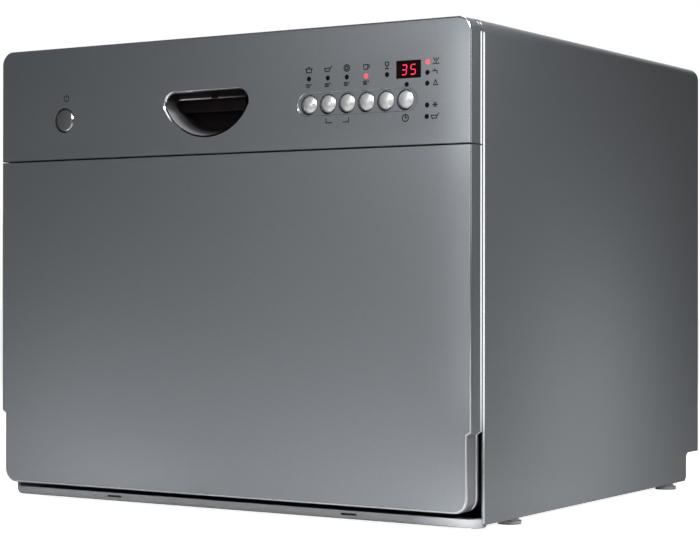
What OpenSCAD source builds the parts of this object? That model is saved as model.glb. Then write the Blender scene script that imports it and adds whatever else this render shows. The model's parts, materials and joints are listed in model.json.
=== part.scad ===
// Countertop dishwasher: a free-standing compact machine with a drop-down door,
// one wheeled rack, one spray arm and a push-button control panel.
// Frame: origin on the table under the middle, +X to the user's right,
// -Y towards the user, +Z up. Millimetres, at real size.

/* [Cabinet] */
// Width over the casing sides
body_w = 545; // [543:1:548]
// Depth from the button domes to the back edge of the casing
body_d = 515; // [514:1:517]
// Height from the table to the top
body_h = 455; // [454:1:457]
// Gap under the casing with the feet screwed in
foot_gap = 8; // [7:0.5:8.5]
// Radius of the two long top edges
casing_r = 13; // [10:1:15]
// Thickness of the casing sheet
casing_t = 1; // [0.8:0.1:1]

/* [Door] */
// Depth of the door's visible side wall
door_edge_d = 21; // [20:0.5:22]
// Corner radius of the door front
door_r = 13.5; // [10:0.5:16]
// Height of the door's lower edge above the table
door_z0 = 19; // [19:0.5:20]
// Height of the seam between control fascia and door panel
seam_z = 343; // [338:1:346]
// Height of the step where the door narrows to swing into the cabinet
notch_z = 88; // [88:0.5:90]
// How far each door side steps in below that height
notch_in = 4.6; // [4.4:0.1:5]

/* [Controls] */
// How far the button domes stand proud of the door
button_proud = 1.5; // [1:0.1:1.5]
// Radius of a programme button
button_r = 8.4; // [7.5:0.1:8.5]
// Spacing of the programme buttons
button_pitch = 20.5; // [20:0.1:20.6]
// Travel of a programme button
button_travel = 2; // [1:0.1:2]
// Radius of the power button
power_r = 11.4; // [10:0.1:12]
// Travel of the power button
power_travel = 3; // [1:0.1:3]

/* [Chamber] */
// Inside width of the wash chamber
tub_w = 460; // [458:1:462]
// Height of the chamber's side ledges above the table
ledge_z = 106; // [106:0.5:106.5]
// Height of the chamber ceiling above the table
ceiling_z = 428; // [424:1:428]

/* [Rack] */
// Height of the rack's top rim above the table
rim_z = 262; // [255:1:270]
// Radius of the rack's wires
wire_r = 2; // [1.8:0.1:2.1]
// Spacing of the plate slots
slot_pitch = 36; // [36:1:36]
// Height of the plate tines above the table
tine_z = 205; // [190:1:210]

/* [Hidden] */
$fn = 64;
hull_fn = 32;
eps = 0.01;

silver = [0.55, 0.57, 0.58];
silver_side = [0.42, 0.43, 0.44];
plinth_grey = [0.62, 0.62, 0.63];
steel = [0.78, 0.79, 0.80];
dark_plastic = [0.10, 0.10, 0.11];
mid_plastic = [0.35, 0.35, 0.37];
white_plastic = [0.90, 0.90, 0.88];
rubber_black = [0.06, 0.06, 0.06];
rack_grey = [0.66, 0.68, 0.70];

hx = body_w / 2;
rear_y = body_d / 2;
face_y = -body_d / 2 + button_proud;
shell_y1 = face_y + door_edge_d;
casing_y0 = face_y + 24.5;
back_y = rear_y - 1.5;
sheet = 1.2;

// casing
lip_w = 3;
rear_lip_w = 14;
back_z0 = 54.5;
rear_notch_y = rear_y - 33;
rear_notch_z = 38;
rear_notch_r = 6;

// base tray and plinth
plinth_y = face_y + 14.5;
plinth_r = 16;
plinth_z0 = 4.6;
plinth_z1 = 13.2;
plinth_d = 15.5;
tray_z0 = 8.6;
tray_t = 3;
tray_hx = hx - casing_t - 0.5;
bulkhead_y = -158;
rib_x = 195;
slit_x = 137;
front_foot = [255, -151];
rear_foot = [257, 205];
stem_r = 5;

// tub
tub_hx = tub_w / 2;
tub_y0 = -213;
tub_y1 = 196;
tub_r = 16;
basin_hx = 190;
basin_y = [-190, 175];
basin_z = 100;
sump_c = [0, 32];
sump_r = 82;
arm_c = [0, -8];
cup_c = [0, 74];
salt_c = [-140, -115];
heater_r = 105;

// door
hinge_y = face_y + 24;
hinge_z = 84;
skin_t = 2.2;
edge_r = 1.6;
inner_y = face_y + 34;
inner_hx = 261.5;
inner_z = [95, 450];
arm_x = [246, 250];
bracket_x = [252, 258];
pin_r = 3;

// controls
recess_x = [-67, 37];
recess_z = [359, 404.5];
recess_depth = 25;
button_x0 = 102.9;
button_z = 384.5;
bezel_x = [90, 218];
bezel_z = [373.6, 395.2];
bezel_r = 10.75;
power_c = [-189.5, 382.5];
display_x = [196, 221.6];
display_z = [403, 419];
lamp_r = 2.3;
dark_lamps = [
    [102.8, 408], [123.4, 407.8], [143.9, 407.6], [186.5, 407.4], [206.8, 397.6],
    [228.2, 407.1], [228, 397.6], [227.8, 378.3], [227.5, 368.2]
];
lit_lamps = [[164.4, 407.5], [228.5, 416.5]];
board_y = face_y + 21.5;
board_x = [84, 246];
board_z = [352, 432];
switch_x = [-210, -169];
switch_z = [362, 403];

// latch
latch_x = -15;
hook_w = 14;
hook_z = [441, 446];
hook_pivot = [face_y + 20, 443.5];
lever_pivot = [face_y + 16, 394];
lever_x = [-49, 19];
trip_z = [402.5, 405.5];

// dispenser
disp_x = [-20, 130];
disp_z = [160, 290];
disp_y = inner_y + 7;
cup_x = [0, 56];
cup_z = [224, 276];
lid_drop = 54;
rinse_c = [98, 252];
rinse_r = 17;

// rack
rack_hx = 216;
base_z = 128;
cross_y0 = -100;
cross_pitch = 30;
cross_n = 9;
slope_cross = [-148, 157.2];
long_n = 12;
rack_rear_y = 172;
rack_front_y = -188;
slope_y = -108;
slope_top = [-188, 191.4];
band_z = 198;
weld = 2 * wire_r - 0.6;
long_x0 = -198;
wire_bend = 9;
rim_bend = 12;
tine_x0 = -180;
tine_n = 8;
tine_rows = [20, 110];
wheel_r = 9;
wheel_x = 203.5;
wheel_y = [-96, 110];
wheel_z = ledge_z + 0.3 + wheel_r;
shelf_pivot = [-206, 224];
shelf_y = [-80, 60];
basket_x = [130, 194];
basket_y = [-88, 58];
basket_z = [134, 234];

// ---------------------------------------------------------------- helpers

// Box between low and high corners, given as one pair for each axis
module block(x, y, z)
    translate([x[0], y[0], z[0]])
    cube([x[1] - x[0], y[1] - y[0], z[1] - z[0]]);

// Outline in X and Z, drawn out along Y
module along_y(y)
    translate([0, y[1], 0])
    rotate([90, 0, 0])
    linear_extrude(y[1] - y[0])
    children();

// Outline in Y and Z, drawn out along X
module along_x(x)
    translate([x[0], 0, 0])
    rotate([90, 0, 90])
    linear_extrude(x[1] - x[0])
    children();

// Outline in X and Y, drawn out along Z
module along_z(z)
    translate([0, 0, z[0]])
    linear_extrude(z[1] - z[0])
    children();

// The same thing on the right and on the left
module both_sides() {
    children();
    mirror([1, 0, 0])
    children();
}

// Flat outline between low and high values
module flat(u, v)
    translate([u[0], v[0]])
    square([u[1] - u[0], v[1] - v[0]]);

// Rectangle with four round corners
module round_rect(u, v, r) {
    flat([u[0] + r, u[1] - r], v);
    flat(u, [v[0] + r, v[1] - r]);
    for (cu = [u[0] + r, u[1] - r])
        for (cv = [v[0] + r, v[1] - r])
            translate([cu, cv])
            circle(r);
}

// Open-bottomed outline with round top corners
module arch(half, z, r) {
    flat([-half, half], [z[0], z[1] - r]);
    flat([r - half, half - r], z);
    for (side = [-1, 1])
        translate([side * (half - r), z[1] - r])
        circle(r);
}

// Round bar along Y at (x, z)
module bar_y(p, y, r)
    translate([p[0], y[1], p[1]])
    rotate([90, 0, 0])
    cylinder(h = y[1] - y[0], r = r);

// Round bar along X at (y, z)
module bar_x(p, x, r)
    translate([x[0], p[0], p[1]])
    rotate([0, 90, 0])
    cylinder(h = x[1] - x[0], r = r);

// Round bar along Z at (x, y)
module bar_z(p, z, r)
    translate([p[0], p[1], z[0]])
    cylinder(h = z[1] - z[0], r = r);

// Straight wire from point a to point b
module wire(a, b, r) {
    d = b - a;
    translate(a)
    rotate([0, acos(d[2] / norm(d)), atan2(d[1], d[0])])
    cylinder(h = norm(d), r = r);
}

function heading(a, b) = atan2(b[1] - a[1], b[0] - a[0]);

// Angle that a path turns through at point q, positive to the left
function turn(p, q, s) = (heading(q, s) - heading(p, q) + 540) % 360 - 180;

// Length of straight wire that the bend at q takes up
function trim(p, q, s, bend) = bend * tan(abs(turn(p, q, s)) / 2);

// Wire along a flat path, with a round bend at each inner point, or at all if closed.
// A bend's angle is rounded up, so that it always meets the straight after it.
module path_wire(points, r, bend, closed = false) {
    n = len(points);
    last = closed ? n - 1 : n - 2;
    for (i = [0 : last]) {
        a = points[i];
        b = points[(i + 1) % n];
        cut_a = (closed || i > 0) ? trim(points[(i + n - 1) % n], a, b, bend) : 0;
        cut_b = (closed || i < n - 2) ? trim(a, b, points[(i + 2) % n], bend) : 0;
        translate([a[0], a[1], 0])
        rotate([0, 0, heading(a, b)])
        translate([cut_a, 0, 0])
        rotate([0, 90, 0])
        cylinder(h = norm(b - a) - cut_a - cut_b, r = r);
    }
    for (i = [(closed ? 0 : 1) : (closed ? n - 1 : n - 2)]) {
        p = points[(i + n - 1) % n];
        q = points[i];
        s = points[(i + 1) % n];
        phi = turn(p, q, s);
        side = phi > 0 ? 1 : -1;
        h = heading(p, q);
        back = trim(p, q, s, bend);
        center = q - back * [cos(h), sin(h)] + side * bend * [-sin(h), cos(h)];
        translate([center[0], center[1], 0])
        rotate([0, 0, phi > 0 ? h - 90 : h + 90 + phi])
        rotate_extrude(angle = ceil(abs(phi) * 1000 - 0.01) / 1000)
        translate([bend, 0])
        circle(r);
    }
}

// Flat path in X and Z at a given Y
module upright_x(y)
    translate([0, y, 0])
    rotate([90, 0, 0])
    children();

// Flat path in Y and Z at a given X
module upright_y(x)
    translate([x, 0, 0])
    rotate([90, 0, 90])
    children();

// Where the four corners of the machine's wheels are
function wheel_at(side, end) = [side * wheel_x, wheel_y[end]];

// ---------------------------------------------------------------- cabinet

// Cut at the lower rear corner of each casing side, where the hoses leave
module rear_notch()
    along_x([hx - rear_lip_w - 1, hx + 1]) {
        flat([rear_notch_y, rear_y + 1], [foot_gap - 1, rear_notch_z - rear_notch_r]);
        flat([rear_notch_y + rear_notch_r, rear_y + 1], [foot_gap - 1, rear_notch_z]);
        translate([rear_notch_y + rear_notch_r, rear_notch_z - rear_notch_r])
        circle(rear_notch_r);
        difference() {
            flat([rear_notch_y - rear_notch_r, rear_notch_y + 1],
                 [foot_gap - 1, foot_gap + rear_notch_r]);
            translate([rear_notch_y - rear_notch_r, foot_gap + rear_notch_r])
            circle(rear_notch_r);
        }
    }

// One bent sheet: two sides and the top, edges folded in front and behind
module casing_wrap() {
    color(silver_side)
    difference() {
        union() {
            along_y([casing_y0, rear_y])
            difference() {
                arch(hx, [foot_gap, body_h], casing_r);
                arch(hx - casing_t, [foot_gap - 1, body_h - casing_t], casing_r - casing_t);
            }
            along_y([casing_y0, casing_y0 + casing_t])
            difference() {
                arch(hx - eps, [foot_gap, body_h - eps], casing_r);
                arch(hx - lip_w, [foot_gap - 1, body_h - lip_w], casing_r - lip_w);
            }
            along_y([back_y - casing_t - 0.5, back_y - 0.5])
            difference() {
                arch(hx - eps, [foot_gap, body_h - eps], casing_r);
                flat([rear_lip_w - hx, hx - rear_lip_w], [foot_gap - 1, body_h - rear_lip_w]);
            }
        }
        both_sides()
        rear_notch();
        panel_screw_bores(2);
    }
}

// Places of the screws round the back panel
screw_x = [-264, -132, 0, 132, 264];
screw_z = [446, 250];

module panel_screw_places()
    for (x = screw_x)
        for (z = screw_z)
            if (z > 400 || abs(x) > 200)
                translate([x, 0, z])
                children();

module panel_screw_bores(r)
    panel_screw_places()
    bar_y([0, 0], [back_y - 4, rear_y], r);

// Rear sheet with one large field pressed inwards and two stiffening beads
module back_panel() {
    panel_y = [back_y - 0.5, back_y + 0.5];
    field_x = [-222, 222];
    field_z = [92, 408];
    field_y = [back_y - 4.5, back_y - 3.5];
    color(steel)
    difference() {
        union() {
            along_y(panel_y)
            difference() {
                arch(hx - 1.4, [back_z0, body_h - 1.4], casing_r - 1);
                round_rect(field_x, field_z, 20);
            }
            along_y([field_y[0], panel_y[1]])
            difference() {
                round_rect([field_x[0] - 1, field_x[1] + 1], [field_z[0] - 1, field_z[1] + 1], 21);
                round_rect(field_x, field_z, 20);
            }
            along_y(field_y)
            round_rect([field_x[0] - 0.5, field_x[1] + 0.5], [field_z[0] - 0.5, field_z[1] + 0.5], 20.5);
            for (z = [190, 300])
                along_y([field_y[0], field_y[1] + 1.6])
                round_rect([-180, 180], [z, z + 14], 6.9);
        }
        panel_screw_bores(2);
    }
}

module panel_screws() {
    color(steel)
    panel_screw_places() {
        bar_y([0, 0], [back_y - 4, back_y + 0.6], 1.95);
        bar_y([0, 0], [back_y + 0.5, rear_y - 0.1], 3.6);
    }
}

// Front strip of the base, with rounded corners and a rounded lower edge
module plinth() {
    difference() {
        hull()
        for (layer = [[0, 4.2], [1.4, 1.4], [4.4, 0]])
            translate([0, 0, plinth_z0 + layer[0]])
            linear_extrude(plinth_z1 - plinth_z0 - layer[0])
            plinth_plan(layer[1]);
        block([-262, 262], [plinth_y + 3, plinth_y + plinth_d - 3], [plinth_z0 - 1, plinth_z1 - 2]);
        for (side = [-1, 1])
            block([side * slit_x - 8.5, side * slit_x + 8.5], [plinth_y - 1, plinth_y + 4], [9, 10.9]);
        both_sides()
        block([hx - lip_w - 0.4, hx + 1], [casing_y0 - 0.3, plinth_y + plinth_d + 1],
              [foot_gap - 0.4, plinth_z1 + 1]);
    }
}

// Plan of the plinth, drawn in by a given amount
module plinth_plan(inset) {
    half = hx - 0.3 - inset;
    r = plinth_r - inset;
    front = plinth_y + inset;
    back = plinth_y + plinth_d;
    intersection() {
        flat([-half, half], [front, back]);
        union() {
            flat([r - half, half - r], [front, back]);
            flat([-half, half], [front + r, back + r]);
            for (side = [-1, 1])
                translate([side * (half - r), front + r])
                circle(r, $fn = hull_fn);
        }
    }
}

// Moulded floor tray: plinth, floor, walls, bulkhead, tub supports and foot bosses
module base_tray() {
    rear_wall_y = rear_notch_y - 3;
    floor_z = [tray_z0, tray_z0 + tray_t];
    color(plinth_grey)
    difference() {
        union() {
            plinth();
            block([-tray_hx, tray_hx], [plinth_y + plinth_d - 1, rear_notch_y], floor_z);
            both_sides() {
                block([tray_hx - 2.5, tray_hx], [bulkhead_y, rear_notch_y], [tray_z0, 60]);
                block([rib_x, rib_x + 3], [bulkhead_y, 170], [tray_z0, ledge_z - sheet]);
                bar_z(front_foot, [tray_z0, 40], 12);
                bar_z(rear_foot, [tray_z0, 40], 12);
            }
            block([-tray_hx, tray_hx], [bulkhead_y, bulkhead_y + 3], [tray_z0, basin_z - sheet]);
            block([-tray_hx, tray_hx], [rear_wall_y, rear_notch_y], [tray_z0, back_z0]);
            block([-tray_hx, tray_hx], [rear_wall_y, back_y - 2], [back_z0 - 2.5, back_z0]);
        }
        both_sides() {
            bar_z(front_foot, [0, 45], stem_r + 0.1);
            bar_z(rear_foot, [0, 45], stem_r + 0.1);
        }
        bar_y([-200, 24], [rear_wall_y - 1, rear_notch_y + 1], 12);
        bar_y([-150, 24], [rear_wall_y - 1, rear_notch_y + 1], 9);
        bar_y([200, 26], [rear_wall_y - 1, rear_notch_y + 1], 6);
    }
}

// Screw-in foot: pad, hexagonal spanner flats and threaded stem
module foot(p) {
    color(white_plastic) {
        bar_z(p, [0, 3.2], 11);
        bar_z(p, [3.2, 5], 8.5);
        translate([p[0], p[1], 5])
        cylinder(h = 2.6, r = 8, $fn = 6);
        bar_z(p, [7.6, 38], stem_r);
    }
}

// ---------------------------------------------------------------- wash chamber

// Mouth of the chamber, grown outwards by a given amount
module mouth(grow)
    round_rect([-tub_hx - grow, tub_hx + grow], [ledge_z - grow, ceiling_z + grow], tub_r + grow);

// Pressed steel liner with a front flange and a lowered floor
module tub() {
    color(steel)
    difference() {
        union() {
            along_y([tub_y0, tub_y1 + sheet])
            mouth(sheet);
            along_y([tub_y0, tub_y0 + sheet])
            arch(hx - 2.2, [inner_z[0], body_h - 2.5], casing_r - 2.2);
            along_z([basin_z - sheet, ledge_z])
            round_rect([-basin_hx - sheet, basin_hx + sheet], [basin_y[0] - sheet, basin_y[1] + sheet], 21);
        }
        along_y([tub_y0 - 1, tub_y1])
        mouth(0);
        along_z([basin_z, ledge_z + 1])
        round_rect([-basin_hx, basin_hx], basin_y, 20);
        bar_z(sump_c, [basin_z - 3, ledge_z], sump_r - 2);
        bar_z(salt_c, [basin_z - 3, ledge_z], 25);
        for (x = [-12, 12])
            bar_z([x, sump_c[1] + heater_r], [basin_z - 3, ledge_z], 4);
        block([latch_x - 9, latch_x + 9], [tub_y0 - 1, tub_y0 + 2], [438.8, 450]);
    }
}

// Rubber ring in the mouth that the inner door closes on
module door_gasket() {
    color(rubber_black) {
        along_y([tub_y0 - 5, tub_y0])
        difference() {
            mouth(8.5);
            mouth(0.3);
        }
        along_y([inner_y + 0.3, tub_y0 - 5])
        difference() {
            mouth(6.5);
            mouth(3.5);
        }
    }
}

// Steel bar on each side that carries the hinge pin
module hinge_brackets() {
    color(steel)
    difference() {
        both_sides() {
            along_x(bracket_x) {
                translate([hinge_y, hinge_z])
                circle(8.4);
                flat([hinge_y, bulkhead_y], [hinge_z - 1, hinge_z + 8.4]);
            }
            block([238, bracket_x[1]], [bulkhead_y - 2.5, bulkhead_y], [42, hinge_z + 8.4]);
        }
        hinge_line(pin_r);
    }
}

module hinge_line(r)
    both_sides()
    bar_x([hinge_y, hinge_z], [arm_x[0] - 3, bracket_x[1] + 3], r);

module hinge_pins() {
    color(steel)
    both_sides() {
        bar_x([hinge_y, hinge_z], [arm_x[0] - 2, bracket_x[1] + 2], pin_r);
        bar_x([hinge_y, hinge_z], [arm_x[0] - 2.5, arm_x[0] - 0.5], 4.6);
    }
}

// Steel plate behind the flange slot, the edge that the hook catches
module latch_strike() {
    strike_y = [tub_y0 + sheet, tub_y0 + 3.6];
    color(steel) {
        along_y(strike_y)
        difference() {
            flat([latch_x - 18, latch_x + 18], [431, 452]);
            flat([latch_x - 9, latch_x + 9], [438.4, 450]);
        }
    }
}

// Collecting pot under the floor, where the water is filtered and pumped off
module sump() {
    color(mid_plastic)
    difference() {
        union() {
            bar_z(sump_c, [60, basin_z - sheet], sump_r + 3);
            bar_z(sump_c, [40, 60], 60);
            bar_z(sump_c, [basin_z - 6, basin_z - sheet], sump_r + 8);
            bar_x([sump_c[1], 58], [50, sump_r + 10], 14);
            bar_x([sump_c[1], 50], [-sump_r - 6, -50], 9);
        }
        bar_z(sump_c, [63, basin_z], sump_r);
        bar_z(sump_c, [43, 64], 56);
    }
}

// Fine sieve over the sump, with rings of holes
module filter_plate() {
    plate_z = [basin_z, basin_z + 1.4];
    color(steel)
    difference() {
        bar_z(sump_c, plate_z, sump_r + 3);
        bar_z(cup_c, [basin_z - 1, basin_z + 3], 30.5);
        bar_z(arm_c, [basin_z - 1, basin_z + 3], 12.4);
        for (ring = [[76, 48], [68, 42]])
            for (i = [0 : ring[1] - 1]) {
                at = [ring[0] * cos(i * 360 / ring[1]), ring[0] * sin(i * 360 / ring[1])];
                if (norm(at + sump_c - cup_c) > 34)
                    bar_z(sump_c + at, [basin_z - 1, basin_z + 3], 1.6);
            }
    }
}

// Pipe that feeds the spray arm, with the stub and nut that it turns on
module spray_riser() {
    color(mid_plastic) {
        bar_z(arm_c, [43, 109.6], 12);
        bar_z(arm_c, [109.6, 122], 8);
        bar_z(arm_c, [121.3, 124], 12.5);
    }
}

// Ring heater that lies on the chamber floor, with two ends through it
module heater_element() {
    tube_r = 3.2;
    tube_z = basin_z + tube_r + 0.6;
    end_y = sump_c[1] + heater_r;
    half_gap = asin(12 / heater_r);
    color([0.35, 0.33, 0.30]) {
        translate([sump_c[0], sump_c[1], tube_z])
        rotate([0, 0, 90 + half_gap])
        rotate_extrude(angle = 360 - 2 * half_gap)
        translate([heater_r, 0])
        circle(tube_r);
        for (x = [-12, 12]) {
            translate([x, end_y - 0.7, tube_z])
            sphere(tube_r + 0.3);
            bar_z([x, end_y - 0.7], [basin_z - 14, tube_z], tube_r);
        }
        block([-22, 22], [end_y - 9, end_y + 9], [basin_z - 6, basin_z - sheet]);
    }
}

module circulation_pump() {
    axis = [sump_c[1], 54];
    color(dark_plastic) {
        bar_x(axis, [92, 112], 38);
        for (side = [-1, 1])
            block([126, 132], [axis[0] + side * 22 - 4, axis[0] + side * 22 + 4], [tray_z0 + tray_t, 34]);
    }
    color(steel)
    bar_x(axis, [112, 176], 30);
    color(dark_plastic) {
        bar_x(axis, [176, 184], 24);
        for (i = [0 : 7])
            translate([0, axis[0], axis[1]])
            rotate([45 * i, 0, 0])
            block([112, 120], [-4, 4], [28, 35]);
    }
}

module drain_pump() {
    axis = [sump_c[1], 50];
    color(dark_plastic) {
        bar_x(axis, [-106, -88], 24);
        bar_x(axis, [-142, -106], 17);
        block([-130, -112], [axis[0] - 8, axis[0] + 8], [tray_z0 + tray_t, 35]);
    }
}

// Resin and salt tank, with its filler neck through the chamber floor
module softener_tank() {
    tank_x = [-188, -92];
    tank_y = [-150, -78];
    color(white_plastic)
    difference() {
        union() {
            along_z([tray_z0 + tray_t, 88])
            round_rect(tank_x, tank_y, 12);
            bar_z(salt_c, [80, 104.4], 24);
            bar_z(salt_c, [basin_z - 4, basin_z - sheet], 30);
        }
        bar_z(salt_c, [30, 110], 20);
    }
}

// Inlet valve with its threaded stub for the supply hose
module inlet_valve() {
    color(white_plastic) {
        bar_y([-200, 24], [190, rear_notch_y - 3], 11.5);
        block([-212, -188], [176, 200], [14, 48]);
        bar_y([-200, 24], [rear_notch_y - 3.5, rear_notch_y + 6], 11.9);
        bar_y([-200, 24], [rear_notch_y, rear_notch_y + 3], 15);
        bar_y([-200, 24], [rear_notch_y + 3, rear_notch_y + 21], 13.2);
    }
}

// Spigot that the drain hose pushes onto
module drain_outlet() {
    color(mid_plastic) {
        bar_y([-150, 24], [190, rear_notch_y + 2], 8.9);
        bar_y([-150, 24], [rear_notch_y, rear_notch_y + 3], 13);
        bar_y([-150, 24], [rear_notch_y + 3, rear_notch_y + 27], 9.5);
    }
}

// Flat water box beside the chamber, with its winding channel
module air_break() {
    box_x = [-262, -238];
    color(white_plastic)
    difference() {
        union() {
            along_x(box_x)
            round_rect([-60, 140], [60, 400], 14);
            for (y = [-30, 110])
                for (z = [150, 360])
                    bar_x([y, z], [box_x[1] - 0.1, -tub_hx - sheet], 6);
        }
        for (z = [120 : 56 : 344])
            along_x([box_x[0] - 1, box_x[0] + 4])
            round_rect([-48, 128], [z, z + 40], 10);
    }
}

// Blank gland where the supply cord would enter
module cord_gland() {
    color(dark_plastic) {
        bar_y([200, 26], [rear_notch_y - 8, rear_notch_y], 5.9);
        bar_y([200, 26], [rear_notch_y, rear_notch_y + 4], 10);
        translate([200, rear_notch_y + 4, 26])
        rotate([-90, 0, 0])
        cylinder(h = 12, r1 = 8, r2 = 6);
    }
}

// ---------------------------------------------------------------- door

// Solid with the door's outer form: round corners and a rounded front edge
module door_solid() {
    layers = [[0, edge_r], [0.3 * edge_r, 0.35 * edge_r], [edge_r, 0]];
    hull()
    for (layer = layers)
        along_y([face_y + layer[0], shell_y1]) {
            arch(hx - layer[1], [notch_z + notch_in + 1.5, body_h - layer[1]], door_r - layer[1],
                 $fn = hull_fn);
            flat([notch_in - hx + layer[1], hx - notch_in - layer[1]], [notch_z, notch_z + 9]);
        }
    hull()
    for (layer = layers)
        along_y([face_y + layer[0], shell_y1])
        round_rect([notch_in - hx + layer[1], hx - notch_in - layer[1]],
                   [door_z0 + layer[1], notch_z + 40], door_r - layer[1], $fn = hull_fn);
}

// Hollow behind the door's skin, with a narrower rear opening above the notch
module door_hollow() {
    wall = 2;
    skin_y = face_y + skin_t;
    low_hx = hx - notch_in - wall;
    along_y([skin_y, shell_y1 - 1])
    arch(hx - wall, [notch_z + 9, body_h - wall], door_r - wall);
    along_y([skin_y, shell_y1 - 1])
    round_rect([-low_hx, low_hx], [door_z0 + wall, notch_z + 30], door_r - wall);
    along_y([skin_y, shell_y1 + 1])
    intersection() {
        round_rect([-low_hx, low_hx], [door_z0 + wall, notch_z + 30], door_r - wall);
        flat([-low_hx, low_hx], [door_z0, inner_z[0]]);
    }
    along_y([skin_y, shell_y1 + 1])
    flat([-inner_hx, inner_hx], [notch_z, inner_z[1]]);
}

// Outer panel of the door below the seam
module door_panel() {
    color(silver)
    difference() {
        door_solid();
        door_hollow();
        block([-hx - 1, hx + 1], [face_y - 1, shell_y1 + 1], [seam_z - 0.4, body_h + 1]);
    }
}

// Finger recess outline: flat top, rounded bowl below, drawn in by a given amount
module recess_outline(inset) {
    mid = (recess_x[0] + recess_x[1]) / 2;
    half = (recess_x[1] - recess_x[0]) / 2 - inset;
    top = recess_z[1] - inset;
    low = recess_z[0] + inset;
    shoulder = 13 - inset;
    bowl_r = 47.5 - inset;
    intersection() {
        round_rect([mid - half, mid + half], [low - 60, top], shoulder, $fn = hull_fn);
        union() {
            flat([mid - half, mid + half], [low + 31, top]);
            translate([mid, low + bowl_r])
            scale([1.13, 1])
            circle(bowl_r, $fn = 2 * hull_fn);
        }
    }
}

// Control panel above the seam
module control_fascia() {
    color(silver)
    difference() {
        union() {
            difference() {
                door_solid();
                door_hollow();
                block([-hx - 1, hx + 1], [face_y - 1, shell_y1 + 1], [door_z0 - 1, seam_z + 0.4]);
            }
            for (board = [[board_x, board_z], [switch_x, switch_z]])
                for (x = [board[0][0] + 5, board[0][1] - 5])
                    for (z = [board[1][0] + 5, board[1][1] - 5])
                        bar_y([x, z], [face_y + skin_t - 0.1, board_y], 3);
        }
        along_y([face_y - 1, face_y + 4])
        recess_outline(0);
        along_y([face_y - 1, face_y + 4])
        round_rect(bezel_x, bezel_z, bezel_r);
        along_y([face_y - 1, face_y + 4])
        flat(display_x, display_z);
        bar_y(power_c, [face_y - 1, face_y + 4], power_r + 0.6);
        for (p = concat(dark_lamps, lit_lamps))
            bar_y(p, [face_y - 1, face_y + 4], lamp_r);
    }
}

// Steel inner panel with a pressed edge and two wheel runners
module inner_door() {
    runner = [
        [inner_y - 0.5, 107.5], [hinge_y + 11, 107.5], [hinge_y + 11, 117],
        [hinge_y + 21.9, 140], [hinge_y + 21.9, 200], [inner_y - 0.5, 214]
    ];
    color(steel)
    difference() {
        union() {
            along_y([inner_y - 1, inner_y])
            flat([-inner_hx, inner_hx], inner_z);
            along_y([shell_y1 - 1, inner_y])
            difference() {
                flat([-inner_hx, inner_hx], inner_z);
                flat([1 - inner_hx, inner_hx - 1], [inner_z[0] + 1, inner_z[1] - 1]);
            }
            both_sides()
            along_x([wheel_x - 4.1, wheel_x + 4.9])
            polygon(runner);
            along_y([inner_y - 1, inner_y + 2.5])
            difference() {
                round_rect([-185, 185], [300, 400], 18);
                round_rect([-183.8, 183.8], [301.2, 398.8], 16.8);
            }
        }
        both_sides()
        block([arm_x[0] - 0.5, arm_x[1] + 0.5], [shell_y1 - 2, hinge_y + 6.5],
              [inner_z[0] - 1, inner_z[0] + 2]);
        block([latch_x - 9, latch_x + 9], [inner_y - 2, inner_y + 1], [438.6, 448.6]);
        block([disp_x[0] + 6, disp_x[1] - 6], [inner_y - 2, inner_y + 1], [disp_z[0] + 6, disp_z[1] - 6]);
    }
}

// Steel arms inside the door that turn on the hinge pins
module hinge_arms() {
    color(steel)
    difference() {
        both_sides()
        along_x(arm_x) {
            translate([hinge_y, hinge_z])
            circle(8.4);
            polygon([
                [hinge_y - 8.4, hinge_z], [hinge_y + 6, hinge_z], [hinge_y + 6, 150],
                [face_y + 10, 232], [face_y + skin_t, 232], [face_y + skin_t, 98]
            ]);
        }
        hinge_line(pin_r + 0.05);
    }
}

// Dark bowl behind the finger opening
module handle_cup() {
    color(dark_plastic)
    difference() {
        union() {
            along_y([face_y + skin_t, face_y + skin_t + 2])
            flat([recess_x[0] - 8, recess_x[1] + 8], [recess_z[0] - 6, recess_z[1] + 8]);
            hull() {
                along_y([face_y + skin_t, face_y + skin_t + 1])
                recess_outline(-2);
                along_y([face_y + recess_depth + 1, face_y + recess_depth + 2])
                recess_outline(9);
            }
        }
        hull() {
            along_y([face_y - 1, face_y + skin_t + 0.5])
            recess_outline(0);
            along_y([face_y + recess_depth - 1, face_y + recess_depth])
            recess_outline(11);
        }
        block([latch_x - 5.5, latch_x + 5.5], [lever_pivot[0] - 3.5, lever_pivot[0] + 8],
              [lever_pivot[1], trip_z[0]]);
        bar_x(lever_pivot, [recess_x[0] - 3, recess_x[1] + 3], 2.05);
    }
}

// Finger lever across the top of the recess, with an arm that trips the hook
module handle_lever() {
    color(rubber_black) {
        along_x(lever_x) {
            translate(lever_pivot)
            circle(2.6);
            flat([lever_pivot[0] - 1.5, lever_pivot[0] + 1.5], [lever_pivot[1] - 9, lever_pivot[1]]);
            translate([lever_pivot[0], lever_pivot[1] - 9])
            circle(2);
        }
        bar_x(lever_pivot, [recess_x[0] + 4.5, recess_x[1] - 4.5], 2);
        along_x([latch_x - 4, latch_x + 4])
        flat([lever_pivot[0] - 1.5, lever_pivot[0] + 1.5], [lever_pivot[1], trip_z[1]]);
    }
}

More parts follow.
